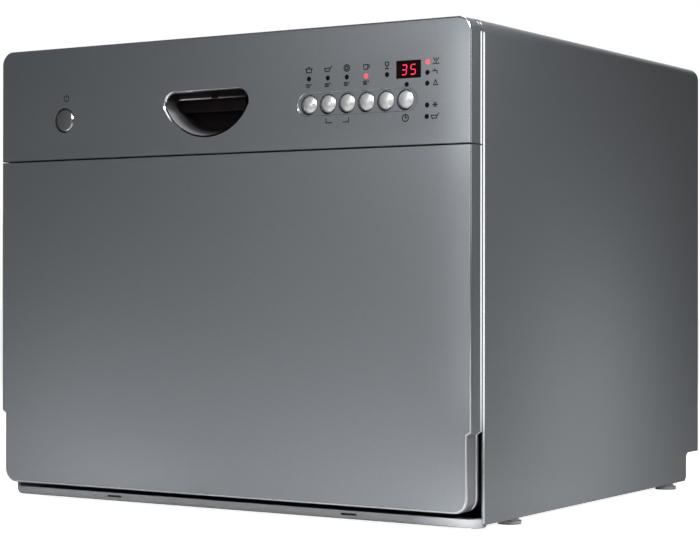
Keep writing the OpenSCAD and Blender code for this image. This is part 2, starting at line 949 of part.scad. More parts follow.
// Hook above the chamber mouth that holds the door shut, with the arm that lifts it
module latch_hook() {
    color(steel)
    difference() {
        union() {
            along_x([latch_x - hook_w / 2, latch_x + hook_w / 2]) {
                translate(hook_pivot)
                circle(3.8);
                flat([hook_pivot[0], tub_y0 + 9], hook_z);
                polygon([
                    [tub_y0 + 4.4, hook_z[0] + 1], [tub_y0 + 4.4, 439.2],
                    [tub_y0 + 6.5, 439.2], [tub_y0 + 9, hook_z[0] + 1]
                ]);
            }
            along_x([latch_x - 5, latch_x + 5])
            flat([hook_pivot[0] - 1.8, hook_pivot[0] + 1.2], [trip_z[0], hook_pivot[1]]);
        }
        bar_x(hook_pivot, [latch_x - 10, latch_x + 10], 2);
    }
}

// Steel fork under the inner door's top edge that carries the hook's pin
module latch_bracket() {
    cheek = [7.6, 9];
    fork_z = [437, inner_z[1] - 1];
    color(steel) {
        for (side = [-1, 1])
            translate([latch_x + side * (cheek[0] + cheek[1]) / 2, 0, 0])
            block([-0.7, 0.7], [hook_pivot[0] - 5, hook_pivot[0] + 8], fork_z);
        block([latch_x - cheek[1], latch_x + cheek[1]], [hook_pivot[0] - 5, inner_y - 1.2],
              [fork_z[1] - 1.2, fork_z[1]]);
        bar_x(hook_pivot, [latch_x - cheek[1], latch_x + cheek[1]], 1.95);
    }
}

// Recessed bar that frames the six programme buttons
module button_bezel() {
    end_gap = 0.1;
    color(silver)
    difference() {
        along_y([face_y + 0.8, face_y + 5])
        round_rect([bezel_x[0] + end_gap, bezel_x[1] - end_gap], bezel_z, bezel_r);
        for (i = [0 : 5])
            bar_y(button_at(i), [face_y, face_y + 6], button_r + 0.35);
    }
}

function button_at(i) = [button_x0 + i * button_pitch, button_z];

// Domed push button with a stem that reaches the switch
module dome_button(p, r, rise, stem_r, back_y) {
    ball_r = (r * r + rise * rise) / (2 * rise);
    front = face_y - button_proud;
    color(steel) {
        intersection() {
            bar_y(p, [front - 1, front + 8], r);
            translate([p[0], front + ball_r, p[1]])
            sphere(ball_r, $fn = 96);
        }
        bar_y(p, [front + 7.9, back_y], stem_r);
    }
}

module program_button(i)
    dome_button(button_at(i), button_r, 2.3, 3, board_y - button_travel - 0.7);

module power_button()
    dome_button(power_c, power_r, 1.6, 4, board_y - power_travel - 0.7);

module display_window() {
    color([0.02, 0.0, 0.0])
    block(display_x, [face_y + 0.2, face_y + 3], display_z);
}

module dark_indicators() {
    color(dark_plastic)
    for (p = dark_lamps)
        bar_y(p, [face_y + 0.1, face_y + 5], lamp_r);
}

module lit_indicators() {
    color("red")
    for (p = lit_lamps)
        bar_y(p, [face_y + 0.1, face_y + 5], lamp_r);
}

// Circuit board with one switch behind each button
module control_board() {
    color([0.12, 0.35, 0.20]) {
        block(board_x, [board_y, board_y + 1.6], board_z);
        block(switch_x, [board_y, board_y + 1.6], switch_z);
    }
    color(dark_plastic) {
        for (p = concat([power_c], [for (i = [0 : 5]) button_at(i)]))
            translate([p[0], 0, p[1]])
            block([-3, 3], [board_y - 0.2, board_y + 0.1], [-3, 3]);
        block([display_x[0] + 1, display_x[1] - 1], [board_y - 9, board_y + 0.1],
              [display_z[0] + 1, display_z[1] - 1]);
        block([120, 160], [board_y + 1.5, board_y + 9], [356, 372]);
    }
}

// Detergent and rinse-aid unit in the inner door
module dispenser_body() {
    rail_x = [cup_x[0] - 8, cup_x[1] + 8];
    color(mid_plastic)
    difference() {
        union() {
            along_y([inner_y, disp_y])
            round_rect(disp_x, disp_z, 9);
            block([disp_x[0] + 6, disp_x[1] - 6], [inner_y - 16, inner_y + 0.1],
                  [disp_z[0] + 6, disp_z[1] - 6]);
            for (side = [0, 1])
                block([rail_x[side] - 1.5, rail_x[side] + 1.5], [disp_y - 0.1, disp_y + 4.4],
                      [cup_z[0] - 4 - lid_drop, cup_z[1] + 5]);
            for (side = [-1, 1])
                block([(rail_x[0] + rail_x[1]) / 2 + side * (rail_x[1] - rail_x[0] - 3) / 2 - 1.5,
                       (rail_x[0] + rail_x[1]) / 2 + side * (rail_x[1] - rail_x[0] - 3) / 2 + 1.5],
                      [disp_y + 3, disp_y + 4.4], [cup_z[0] - 4 - lid_drop, cup_z[1] + 5]);
        }
        block(cup_x, [inner_y - 14, disp_y + 1], cup_z);
        bar_y(rinse_c, [inner_y - 12, disp_y + 1], rinse_r - 5);
        bar_y(rinse_c, [disp_y - 3, disp_y + 1], rinse_r + 0.5);
    }
}

// Cover that slides down off the detergent cup
module dispenser_lid() {
    lid_y = [disp_y + 0.3, disp_y + 2.6];
    color(mid_plastic) {
        block([cup_x[0] - 6.2, cup_x[1] + 6.2], lid_y, [cup_z[0] - 3, cup_z[1] + 3]);
        block([cup_x[0] + 14, cup_x[1] - 14], [lid_y[1] - 0.1, lid_y[1] + 2.4],
              [cup_z[1] - 8, cup_z[1] - 5]);
    }
}

// Quarter-turn cap of the rinse-aid tank
module rinse_aid_cap() {
    color(white_plastic) {
        bar_y(rinse_c, [disp_y - 2.7, disp_y + 2], rinse_r);
        bar_y(rinse_c, [inner_y - 8, disp_y - 2.6], rinse_r - 5.3);
        translate([rinse_c[0], 0, rinse_c[1]])
        block([-2.5, 2.5], [disp_y + 1.9, disp_y + 5], [-14, 14]);
    }
}

// ---------------------------------------------------------------- rack

// Wire basket: cross wires, a middle band and a heavier rim
module rack_frame() {
    band_x = rack_hx - weld;
    color(rack_grey) {
        for (i = [0 : cross_n - 1])
            upright_x(cross_y0 + i * cross_pitch)
            path_wire([[-rack_hx, rim_z], [-rack_hx, base_z], [rack_hx, base_z], [rack_hx, rim_z]],
                      wire_r, wire_bend);
        upright_x(slope_cross[0])
        path_wire([
            [-rack_hx, rim_z], [-rack_hx, slope_cross[1]], [rack_hx, slope_cross[1]], [rack_hx, rim_z]
        ], wire_r, wire_bend);
        translate([0, 0, rim_z])
        path_wire([
            [rack_hx, rack_front_y], [rack_hx, rack_rear_y], [-rack_hx, rack_rear_y],
            [-rack_hx, rack_front_y]
        ], wire_r + 1, rim_bend, closed = true);
        translate([0, 0, band_z])
        path_wire([
            [band_x, slope_top[0] + weld], [band_x, rack_rear_y - weld],
            [-band_x, rack_rear_y - weld], [-band_x, slope_top[0] + weld]
        ], wire_r, rim_bend, closed = true);
    }
}

// Long wires that run up the rear, along the floor and up the sloping front
module rack_wires() {
    long_z = base_z + weld;
    top_z = rim_z - 2.4;
    color(rack_grey)
    for (j = [0 : long_n - 1])
        upright_y(long_x0 + j * slot_pitch)
        path_wire([
            [rack_rear_y, top_z], [rack_rear_y, long_z], [slope_y, long_z], slope_top,
            [rack_front_y, top_z]
        ], wire_r, wire_bend);
}

// Two rows of upright tines that hold the plates
module rack_tines() {
    color(rack_grey)
    for (y = tine_rows)
        for (i = [0 : tine_n - 1])
            wire([tine_x0 + i * slot_pitch, y, base_z + 1],
                 [tine_x0 + i * slot_pitch, y - 8, tine_z], wire_r);
}

// Wheel carriers under the rack and the clips that the shelf turns in
module rack_clips() {
    color(mid_plastic) {
        for (side = [-1, 1])
            for (y = wheel_y) {
                translate([side * (wheel_x - 6.5), y, 0])
                block([-2, 2], [-8, 8], [wheel_z - 6, base_z + 1.5]);
                translate([side * wheel_x, 0, 0])
                bar_x([y, wheel_z], [-5.5, 5.5], 2.5);
                translate([side * (wheel_x + 5.2), 0, 0])
                bar_x([y, wheel_z], [-0.8, 0.8], 4);
            }
        for (y = [shelf_y[0] + 14, shelf_y[1] - 14])
            difference() {
                block([-rack_hx - 2.6, shelf_pivot[0] + 5], [y - 6, y + 6],
                      [shelf_pivot[1] - 6, shelf_pivot[1] + 6]);
                bar_y(shelf_pivot, [y - 7, y + 7], 2.6);
            }
    }
}

module rack_wheel(side, end) {
    p = wheel_at(side, end);
    color(mid_plastic)
    difference() {
        union() {
            bar_x([p[1], wheel_z], [p[0] - 3.6, p[0] + 3.6], wheel_r);
            bar_x([p[1], wheel_z], [p[0] - 3.9, p[0] + 3.9], 4.5);
        }
        bar_x([p[1], wheel_z], [p[0] - 5, p[0] + 5], 2.6);
    }
}

// Folding shelf for cups, shown folded up
module cup_shelf() {
    x = shelf_pivot[0];
    z = shelf_pivot[1];
    top_z = z + 76;
    color(rack_grey) {
        bar_y(shelf_pivot, [shelf_y[0] - 4, shelf_y[1] + 4], 2.5);
        upright_y(x)
        path_wire([[shelf_y[0], z], [shelf_y[0], top_z], [shelf_y[1], top_z], [shelf_y[1], z]], 2, 10);
        for (y = [shelf_y[0] + 28 : 28 : shelf_y[1] - 20])
            bar_z([x, y], [z, top_z], 1.5);
    }
}

// Plastic basket with six cells, slotted walls and a carrying bar
module cutlery_basket() {
    wall = 2;
    mid_x = (basket_x[0] + basket_x[1]) / 2;
    cell_y = (basket_y[1] - basket_y[0] - wall) / 3;
    color(mid_plastic)
    difference() {
        union() {
            block(basket_x, basket_y, basket_z);
            for (y = [basket_y[0], basket_y[1] - 5])
                block([mid_x - 4, mid_x + 4], [y, y + 5], [basket_z[1] - 1, basket_z[1] + 30]);
            bar_y([mid_x, basket_z[1] + 30], basket_y, 5);
        }
        for (side = [0, 1])
            for (i = [0 : 2])
                block([basket_x[0] + wall + side * (mid_x - basket_x[0] - wall / 2),
                       mid_x - wall / 2 + side * (basket_x[1] - mid_x - wall / 2)],
                      [basket_y[0] + wall + i * cell_y, basket_y[0] + (i + 1) * cell_y],
                      [basket_z[0] + wall, basket_z[1] + 1]);
        for (i = [0 : 2])
            for (k = [0 : 3])
                for (z = [basket_z[0] + 12, basket_z[0] + 56])
                    translate([0, basket_y[0] + wall + i * cell_y + 5 + k * 10, z])
                    block([basket_x[0] - 1, basket_x[1] + 1], [0, 5], [0, 36]);
        for (side = [0, 1])
            for (i = [0 : 2])
                for (k = [0 : 2])
                    translate([basket_x[0] + 7 + side * 31 + k * 8, basket_y[0] + i * cell_y + 8,
                               basket_z[0] - 1])
                    cube([4, cell_y - 14, 4]);
    }
}

// ---------------------------------------------------------------- wash parts

// Two-bladed arm with angled jets on the upper side
module spray_arm() {
    hub_z = [109.9, 121];
    blade_z = [111.4, 119.4];
    reach = 172;
    color(mid_plastic)
    translate([arm_c[0], arm_c[1], 0])
    difference() {
        union() {
            bar_z([0, 0], hub_z, 21);
            for (turn = [0, 180])
                rotate([0, 0, turn])
                hull() {
                    translate([reach, 6, blade_z[0] + 1.5])
                    cylinder(h = 4, r = 12, $fn = hull_fn);
                    translate([reach, 6, blade_z[0]])
                    cylinder(h = 6.5, r = 9, $fn = hull_fn);
                    translate([10, 0, blade_z[0]])
                    cylinder(h = blade_z[1] - blade_z[0], r = 17, $fn = hull_fn);
                }
        }
        bar_z([0, 0], [hub_z[0] - 1, hub_z[1] + 1], 8.08);
        for (turn = [0, 180])
            rotate([0, 0, turn])
            for (x = [40 : 26 : 170])
                bar_z([x, 2 + x / 60], [blade_z[0] + 4, blade_z[1] + 2], 1.8);
    }
}

// Removable cylinder sieve with a finger bar across its top
module filter_cup() {
    color(mid_plastic)
    difference() {
        union() {
            bar_z(cup_c, [64, basin_z + 4], 30);
            bar_z(cup_c, [basin_z + 1.7, basin_z + 4], 33);
            translate([cup_c[0], cup_c[1], 0])
            block([-31, 31], [-3, 3], [basin_z + 1.7, basin_z + 9.4]);
        }
        difference() {
            bar_z(cup_c, [66, basin_z + 5], 28);
            translate([cup_c[0], cup_c[1], 0])
            block([-31, 31], [-3, 3], [basin_z + 1.7, basin_z + 9.4]);
        }
        for (i = [0 : 11])
            translate([cup_c[0], cup_c[1], 0])
            rotate([0, 0, 30 * i + 15])
            block([25, 32], [-3, 3], [70, 92]);
    }
}

// Screw cap of the salt filler
module salt_cap() {
    cap_z = [basin_z + 4.7, basin_z + 8];
    color(mid_plastic)
    difference() {
        union() {
            bar_z(salt_c, cap_z, 28);
            bar_z(salt_c, [basin_z - 3, cap_z[1]], 19.7);
            translate([salt_c[0], salt_c[1], 0])
            block([-25, 25], [-3.5, 3.5], [cap_z[1] - 0.1, cap_z[1] + 1.6]);
        }
        for (i = [0 : 11])
            translate([salt_c[0], salt_c[1], 0])
            rotate([0, 0, 30 * i])
            bar_z([29.5, 0], [cap_z[0] - 1, cap_z[1] + 0.2], 3);
    }
}

// ---------------------------------------------------------------- assembly

casing_wrap();
back_panel();
panel_screws();
base_tray();
tub();
door_gasket();
hinge_brackets();
hinge_pins();
latch_strike();
sump();
filter_plate();
spray_riser();
heater_element();
circulation_pump();
drain_pump();
softener_tank();
inlet_valve();
drain_outlet();
air_break();
cord_gland();
foot([-front_foot[0], front_foot[1]]);  // foot_front_left
foot(front_foot);  // foot_front_right
foot([-rear_foot[0], rear_foot[1]]);  // foot_rear_left
foot(rear_foot);  // foot_rear_right
door_panel();
control_fascia();
inner_door();
hinge_arms();
handle_cup();
button_bezel();
display_window();
dark_indicators();
lit_indicators();
control_board();
dispenser_body();
handle_lever();
latch_hook();
latch_bracket();
power_button();
program_button(0);  // program_button_1
program_button(1);  // program_button_2
program_button(2);  // program_button_3
program_button(3);  // program_button_4
program_button(4);  // program_button_5
program_button(5);  // program_button_6
dispenser_lid();
rinse_aid_cap();
rack_frame();
rack_wires();
rack_tines();
rack_clips();
rack_wheel(-1, 0);  // rack_wheel_front_left
rack_wheel(1, 0);  // rack_wheel_front_right
rack_wheel(-1, 1);  // rack_wheel_rear_left
rack_wheel(1, 1);  // rack_wheel_rear_right
cup_shelf();
cutlery_basket();
spray_arm();
filter_cup();
salt_cap();
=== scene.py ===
# Looks of the countertop dishwasher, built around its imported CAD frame.
import json
import math

import bmesh
import bpy
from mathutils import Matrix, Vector


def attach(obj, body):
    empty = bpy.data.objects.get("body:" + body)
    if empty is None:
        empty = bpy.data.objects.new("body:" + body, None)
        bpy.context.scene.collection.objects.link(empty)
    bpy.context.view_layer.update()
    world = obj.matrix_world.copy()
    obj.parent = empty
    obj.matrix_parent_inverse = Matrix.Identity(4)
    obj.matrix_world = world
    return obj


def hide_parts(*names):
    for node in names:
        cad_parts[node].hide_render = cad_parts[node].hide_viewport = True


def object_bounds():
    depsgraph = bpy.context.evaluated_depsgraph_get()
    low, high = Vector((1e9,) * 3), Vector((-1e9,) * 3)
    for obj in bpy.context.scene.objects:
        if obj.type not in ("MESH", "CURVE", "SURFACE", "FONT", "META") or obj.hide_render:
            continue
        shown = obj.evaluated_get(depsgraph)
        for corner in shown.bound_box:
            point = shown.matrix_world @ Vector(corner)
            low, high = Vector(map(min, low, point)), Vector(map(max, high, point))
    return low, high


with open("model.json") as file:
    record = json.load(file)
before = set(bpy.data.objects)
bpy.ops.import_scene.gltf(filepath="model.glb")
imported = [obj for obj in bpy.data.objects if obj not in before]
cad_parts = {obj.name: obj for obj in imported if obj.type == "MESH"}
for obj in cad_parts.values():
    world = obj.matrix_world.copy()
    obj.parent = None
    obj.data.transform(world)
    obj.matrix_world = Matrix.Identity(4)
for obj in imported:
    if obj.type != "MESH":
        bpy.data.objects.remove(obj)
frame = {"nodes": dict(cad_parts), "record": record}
CAD_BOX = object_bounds()
NODES = frame["nodes"]
MM = 0.001

# ------------------------------------------------------------ sizes in millimetres

# Box of the part, from the frame. The buttons stand out furthest at the front.
HALF_W = round(CAD_BOX[1][0] / MM, 1)
TOP_Z = round(CAD_BOX[1][2] / MM, 1)
BUTTON_RISE = 1.5
FACE_Y = round(CAD_BOX[0][1] / MM, 1) + BUTTON_RISE

# Door skins: a panel below the seam and a fascia above it, both open at the back
DOOR_LOW = 19.0
SEAM = 343.0
SEAM_GAP = 0.8
SEAM_ROUND = 0.5
SEAM_REACH = 4.0
SHELL_BACK = FACE_Y + 21.0
WALL = 2.0
CORNER = 13.5
NOTCH_Z = 88.0
NOTCH_IN = 4.6
NOTCH_RISE = 3.0
EDGE = 2.0
EDGE_STEPS = 7
SMOOTH_DEG = 35

# Groove round a skin, in front of its folded hem: distances before the back edge
HEM = 0.9
GROOVE_FRONT = 4.6
GROOVE_FLOOR = (4.3, 3.0)

# Front edge of the casing sheet
CASING_FRONT = -231.5
CASING_LOW = 9.5
CASING_CHAMFER = 1.2

# Strip under the door: its face, where its paint fades out behind the face, leaving dark plastic that also
# stands for the shade under the door, where painted shade makes its slits black and how far out it reaches,
# and where the painted highlight on its right end starts and is full
PLINTH_Y = -241.5
PLINTH_PAINT = (13.0, 11.0)
SLIT_SHADE_DEPTH = (1.6, 2.2)
SLIT_SHADE_X = (250.0, 244.0)
PLINTH_HIGHLIGHT_X = (205.0, 262.0)

# Openings of the control fascia, and where painted light falls on the lower left side of the recess
RECESS_X = (-67.0, 37.0)
RECESS_Z = (359.0, 404.5)
RECESS_SHOULDER = 13.0
RECESS_BOWL = 47.5
RECESS_BOWL_RISE = 31.0
RECESS_SPREAD = 1.13
BOWL_LIGHT_X = (12.0, -22.0)
BOWL_LIGHT_Y = (-239.0, -255.0)
BOWL_LIGHT_Z = (398.0, 384.0)
BEZEL_X = (90.0, 218.0)
BEZEL_Z = (373.6, 395.2)
BEZEL_R = 10.75
DISPLAY_X = (196.0, 221.6)
DISPLAY_Z = (403.0, 419.0)
DISPLAY_R = 0.8
POWER_HOLE_R = 12.4
CUTTER_Y = (FACE_Y - 3.0, FACE_Y + 6.0)
LAMP_R = 2.3
LAMP_PLACES = [
    (102.8, 408.0), (123.4, 407.8), (143.9, 407.6), (186.5, 407.4), (206.8, 397.6),
    (228.2, 407.1), (228.0, 397.6), (227.8, 378.3), (227.5, 368.2),
    (164.4, 407.5), (228.5, 416.5),
]

# Chamfers that line two openings: width and depth, how far they stay behind the face and inside the
# cut, and their thickness
RECESS_RIM = (1.9, 1.8)
BEZEL_RIM = (0.75, 0.75)
RIM_SUNK = 0.02
RIM_CLEAR = 0.05
RIM_THICK = 0.4

# Buttons. A cap is its radius, the slope of its dome at the rim in degrees, and the width of its lip.
BUTTON_X = [102.9 + 20.5 * i for i in range(6)]
BUTTON_Z = 384.5
KEY_CAP = (8.4, 46, 0.5)
POWER = (-189.5, 382.5)
POWER_CAP = (11.4, 14, 1.7)
BUTTON_ROOT = 4.5
CAP_STEPS = 12
LIP_STEPS = 5

# Ring of painted shade round each programme button, widest in one direction
SHADE_RING_Y = FACE_Y + 0.72
SHADE_RING_R = (8.55, 8.85)
SHADE_RING_WIDER = 0.95
SHADE_RING_TURN = math.radians(238)

# Finger lever: flap with a painted highlight on its top edge that gets brighter to the left, arm and pin
LEVER_X = (-61.0, 22.0)
LEVER_Z = (384.5, 399.0)
LEVER_PIVOT = (-240.0, 394.0)
LEVER_HALF = 1.5
LEVER_END = 0.8
LEVER_END_SCALE = 1 - LEVER_END / 7
LEVER_HIGHLIGHT = 1.3
LEVER_HIGHLIGHT_X = (18.0, -46.0)
LEVER_ARM_X = (-19.0, -11.0)
LEVER_PIN_X = (-62.4, 32.4)

# Print: front plane, thickness of the ink, and line widths
PRINT_Y = FACE_Y - 0.06
INK = 0.05
MARK_LINE = 0.85
NUMBER_LINE = 0.72
DEGREE_LINE = 0.45

# Numbers: left edge from the button's middle, step, width, bottom and half height
NUMBER_LEFT = -2.9
NUMBER_STEP = 2.2
NUMBER_W = 1.5
NUMBER_Z = 400.0
NUMBER_HALF = 1.45

# Brackets below the buttons: bottom, length and height
BRACKET_Z = 367.0
BRACKET_W = 6.0
BRACKET_H = 3.4

# Digits of the display
DIGIT_Y = FACE_Y + 0.08
DIGIT_THICK = 0.1
DIGIT_Z = 406.4
DIGIT_W = 4.8
DIGIT_HALF = 4.3
DIGIT_LINE = 0.85
DIGIT_GAP = 0.25
DIGIT_SLANT = 0.10


# ------------------------------------------------------------ material helpers

def add_math(tree, operation, first, second=None):
    """Math node for one socket, two sockets, or a socket and a number."""
    node = tree.nodes.new("ShaderNodeMath")
    node.operation = operation
    tree.links.new(first, node.inputs[0])
    if isinstance(second, float):
        node.inputs[1].default_value = second
    elif second is not None:
        tree.links.new(second, node.inputs[1])
    return node.outputs[0]


class Shader:
    """A material with a Principled shader and small helpers to add nodes."""

    def __init__(self, name):
        self.mat = bpy.data.materials.new(name)
        self.mat.use_nodes = True
        self.tree = self.mat.node_tree
        self.bsdf = self.tree.nodes["Principled BSDF"]
        self.coord = self.tree.nodes.new("ShaderNodeTexCoord")

    def set(self, **values):
        """Sets plain values of the shader, with underscores for the spaces in their names."""
        for key, value in values.items():
            self.bsdf.inputs[key.replace("_", " ")].default_value = value

    def link(self, out, socket):
        self.tree.links.new(out, socket)

    def space(self, scale):
        node = self.tree.nodes.new("ShaderNodeMapping")
        node.inputs["Scale"].default_value = scale
        self.link(self.coord.outputs["Object"], node.inputs["Vector"])
        return node.outputs["Vector"]

    def noise(self, size, detail=3.0, scale=(1, 1, 1), rough=0.5):
        node = self.tree.nodes.new("ShaderNodeTexNoise")
        node.inputs["Scale"].default_value = size
        node.inputs["Detail"].default_value = detail
        node.inputs["Roughness"].default_value = rough
        self.link(self.space(scale), node.inputs["Vector"])
        return node.outputs["Fac"]

    def cells(self, size):
        node = self.tree.nodes.new("ShaderNodeTexVoronoi")
        node.inputs["Scale"].default_value = size
        self.link(self.space((1, 1, 1)), node.inputs["Vector"])
        return node.outputs["Color"]

    def ramp(self, fac, stops):
        node = self.tree.nodes.new("ShaderNodeValToRGB")
        line = node.color_ramp
        while len(line.elements) < len(stops):
            line.elements.new(0.5)
        for element, (place, value) in zip(line.elements, stops):
            element.position = place
            element.color = (*value, 1.0)
        self.link(fac, node.inputs["Fac"])
        return node.outputs["Color"]

    def mottled(self, fac, color, dark=0.94, light=1.05, places=(0.3, 0.7)):
        """The colour made a little darker and lighter by a pattern."""
        return self.ramp(fac, [(places[0], shade(color, dark)), (places[1], shade(color, light))])

    def span(self, fac, low, high):
        node = self.tree.nodes.new("ShaderNodeMapRange")
        node.inputs["To Min"].default_value = low
        node.inputs["To Max"].default_value = high
        self.link(fac, node.inputs["Value"])
        return node.outputs["Result"]

    def fade(self, axis, start, end, operation=None):
        """A value that runs from 0 to 1 along one axis of the shared frame, in millimetres."""
        split = self.tree.nodes.new("ShaderNodeSeparateXYZ")
        self.link(self.coord.outputs["Object"], split.inputs[0])
        place = split.outputs[axis]
        if operation:
            place = self.calc(operation, place)
        node = self.tree.nodes.new("ShaderNodeMapRange")
        node.inputs["From Min"].default_value = start * MM
        node.inputs["From Max"].default_value = end * MM
        self.link(place, node.inputs["Value"])
        return node.outputs["Result"]

    def calc(self, operation, first, second=None):
        return add_math(self.tree, operation, first, second)

    def times(self, first, second):
        return self.calc("MULTIPLY", first, second)

    def inverse(self, value):
        return self.span(value, 1.0, 0.0)

    def color(self, out):
        self.link(out, self.bsdf.inputs["Base Color"])

    def rough(self, fac, low, high):
        self.link(self.span(fac, low, high), self.bsdf.inputs["Roughness"])

    def bump(self, fac, strength, distance):
        """Adds fine relief, the last step of a material."""
        node = self.tree.nodes.new("ShaderNodeBump")
        node.inputs["Strength"].default_value = strength
        node.inputs["Distance"].default_value = distance
        self.link(fac, node.inputs["Height"])
        self.link(node.outputs["Normal"], self.bsdf.inputs["Normal"])
        return self.mat


def shade(color, factor):
    return tuple(min(1.0, c * factor) for c in color)


def metallic_paint(name, color, flake=0.12, low=0.36, high=0.46, metal=0.55):
    """Silver paint: fine flakes, slight cloudiness and a soft clear coat."""
    s = Shader(name)
    s.color(s.mottled(s.noise(2600, 2.0), color, 1 - flake, 1 + flake))
    s.set(Metallic=metal, Coat_Weight=0.12, Coat_Roughness=0.3, IOR=1.45)
    s.rough(s.noise(6, 4.0), low, high)
    return s.bump(s.noise(420), 0.05, 0.0004)


def brushed(name, color, along=(1, 60, 60), low=0.26, high=0.42):
    """Steel with fine brush lines along one axis."""
    s = Shader(name)
    lines = s.noise(60, 6.0, along, 0.65)
    s.color(s.mottled(lines, color, 0.86, 1.08, (0.25, 0.75)))
    s.set(Metallic=1.0)
    s.rough(lines, low, high)
    return s.bump(lines, 0.06, 0.0004)


def sheet_metal(name, color):
    """Zinc-coated sheet with a soft mottled pattern."""
    s = Shader(name)
    s.color(s.mottled(s.cells(90), color, 0.92, 1.06, (0.2, 0.8)))
    s.set(Metallic=0.9)
    s.rough(s.noise(35, 4.0), 0.34, 0.5)
    return s.bump(s.noise(240, 2.0), 0.04, 0.0004)


def moulded(name, color, spread=0.05):
    """Moulded plastic with a fine eroded grain."""
    s = Shader(name)
    soft = s.noise(14, 4.0)
    s.color(s.mottled(soft, color, 1 - spread, 1 + spread))
    s.rough(soft, 0.38, 0.52)
    return s.bump(s.noise(900), 0.12, 0.0003)


def coated(name, color):
    """Smooth plastic coating on wire, with a trace of flow lines."""
    s = Shader(name)
    flow = s.noise(40, 2.0)
    s.color(s.mottled(flow, color, 0.9, 1.1))
    s.set(Coat_Weight=0.4, Coat_Roughness=0.08)
    s.rough(flow, 0.25, 0.31)
    return s.bump(s.noise(500, 2.0), 0.02, 0.0002)


def polished(name, color):
    """Bright trim: smooth metal with faint draw marks."""
    s = Shader(name)
    marks = s.noise(900, 2.0)
    s.color(s.mottled(marks, color))
    s.set(Metallic=1.0)
    s.rough(marks, 0.1, 0.16)
    return s.mat


def dull_black(name, color, shine=0.12, low=0.35, high=0.5):
    """Black plastic or print that mirrors very little."""
    s = Shader(name)
    soft = s.noise(60)
    s.color(s.mottled(soft, color, 0.8, 1.2))
    s.set(Specular_IOR_Level=shine)
    s.rough(soft, low, high)
    return s.bump(s.noise(1500, 2.0), 0.03, 0.0002)


def bowl_plastic(name):
    """Black recess plastic with painted light on the front of its lower left side, fading out deeper in."""
    s = Shader(name)
    # Painted light: lighter grey near the front of the lower left side
    low_left = s.times(s.fade("X", *BOWL_LIGHT_X), s.fade("Z", *BOWL_LIGHT_Z))
    bowl_light = s.times(s.fade("Y", *BOWL_LIGHT_Y), low_left)
    stops = [(0.0, (0.005, 0.0035, 0.004)), (0.35, (0.05, 0.05, 0.053)), (1.0, (0.42, 0.425, 0.435))]
    s.color(s.ramp(bowl_light, stops))
    s.set(Specular_IOR_Level=0.12)
    s.rough(s.noise(30), 0.25, 0.34)
    return s.bump(s.noise(1500, 2.0), 0.03, 0.0002)


def lever_top(name):
    """Top edge of the finger lever with a painted highlight, bright on the left and dark on the right."""
    s = Shader(name)
    stops = [(place, (grey, grey, grey)) for place, grey in ((0.0, 0.10), (0.5, 0.40), (1.0, 0.95))]
    s.color(s.ramp(s.fade("X", *LEVER_HIGHLIGHT_X), stops))
    s.rough(s.noise(60), 0.3, 0.4)
    return s.bump(s.noise(1500, 2.0), 0.03, 0.0002)


def painted_tray(name, color, inside):
    """Dark plastic with light grey paint on the front strip, a painted highlight at its right end and
    painted shade in its slits; the dark plastic behind the strip also stands for the shade in the gap under
    the door.
    """
    s = Shader(name)
    cloud = s.noise(14, 4.0)
    # Painted shade: the slits turn black
    deep = s.fade("Y", *[PLINTH_Y + depth for depth in SLIT_SHADE_DEPTH])
    slit_shade = s.times(deep, s.fade("X", *SLIT_SHADE_X, "ABSOLUTE"))
    front = s.fade("Y", *[PLINTH_Y + depth for depth in PLINTH_PAINT])
    painted = s.calc("MINIMUM", front, s.inverse(slit_shade))
    # Painted highlight: the paint gets brighter towards the right end
    end_highlight = s.span(s.fade("X", *PLINTH_HIGHLIGHT_X), 0.34, 1.0)
    share = s.times(s.times(painted, end_highlight), s.span(cloud, 0.95, 1.0))
    s.color(s.ramp(share, [(0.0, inside), (1.0, color)]))
    s.rough(cloud, 0.42, 0.55)
    return s.bump(s.noise(1200), 0.06, 0.0003)


def soft_rubber(name, color):
    """Seal rubber with a little dust."""
    s = Shader(name)
    dust = s.noise(70, 5.0)
    s.color(s.mottled(dust, color, 1.0, 1.8, (0.35, 0.8)))
    s.rough(dust, 0.6, 0.8)
    return s.bump(s.noise(800, 2.0), 0.2, 0.0003)


def glowing(name, color, strength):
    """Lit plastic lens: emission with a slightly uneven core."""
    s = Shader(name)
    tone = s.mottled(s.noise(700, 1.0), color, 0.85, 1.25)
    s.color(tone)
    s.link(tone, s.bsdf.inputs["Emission Color"])
    s.set(Emission_Strength=strength, Roughness=0.3)
    return s.mat


def stained_tube(name):
    """Heater tube with brown and blue heat stains."""
    s = Shader(name)
    stain = s.noise(22, 5.0)
    stops = [(0.3, (0.20, 0.17, 0.15)), (0.55, (0.34, 0.30, 0.26)), (0.75, (0.24, 0.25, 0.30))]
    s.color(s.ramp(stain, stops))
    s.set(Metallic=0.85)
    s.rough(stain, 0.38, 0.55)
    return s.bump(s.noise(500, 2.0), 0.05, 0.0003)


def board_green(name):
    """Green circuit board with faint tracks."""
    s = Shader(name)
    wave = s.noise(300, 2.0, (1, 1, 5))
    s.color(s.ramp(wave, [(0.45, (0.03, 0.12, 0.05)), (0.55, (0.05, 0.18, 0.08))]))
    s.rough(wave, 0.3, 0.45)
    return s.bump(wave, 0.1, 0.0002)


# ------------------------------------------------------------ materials

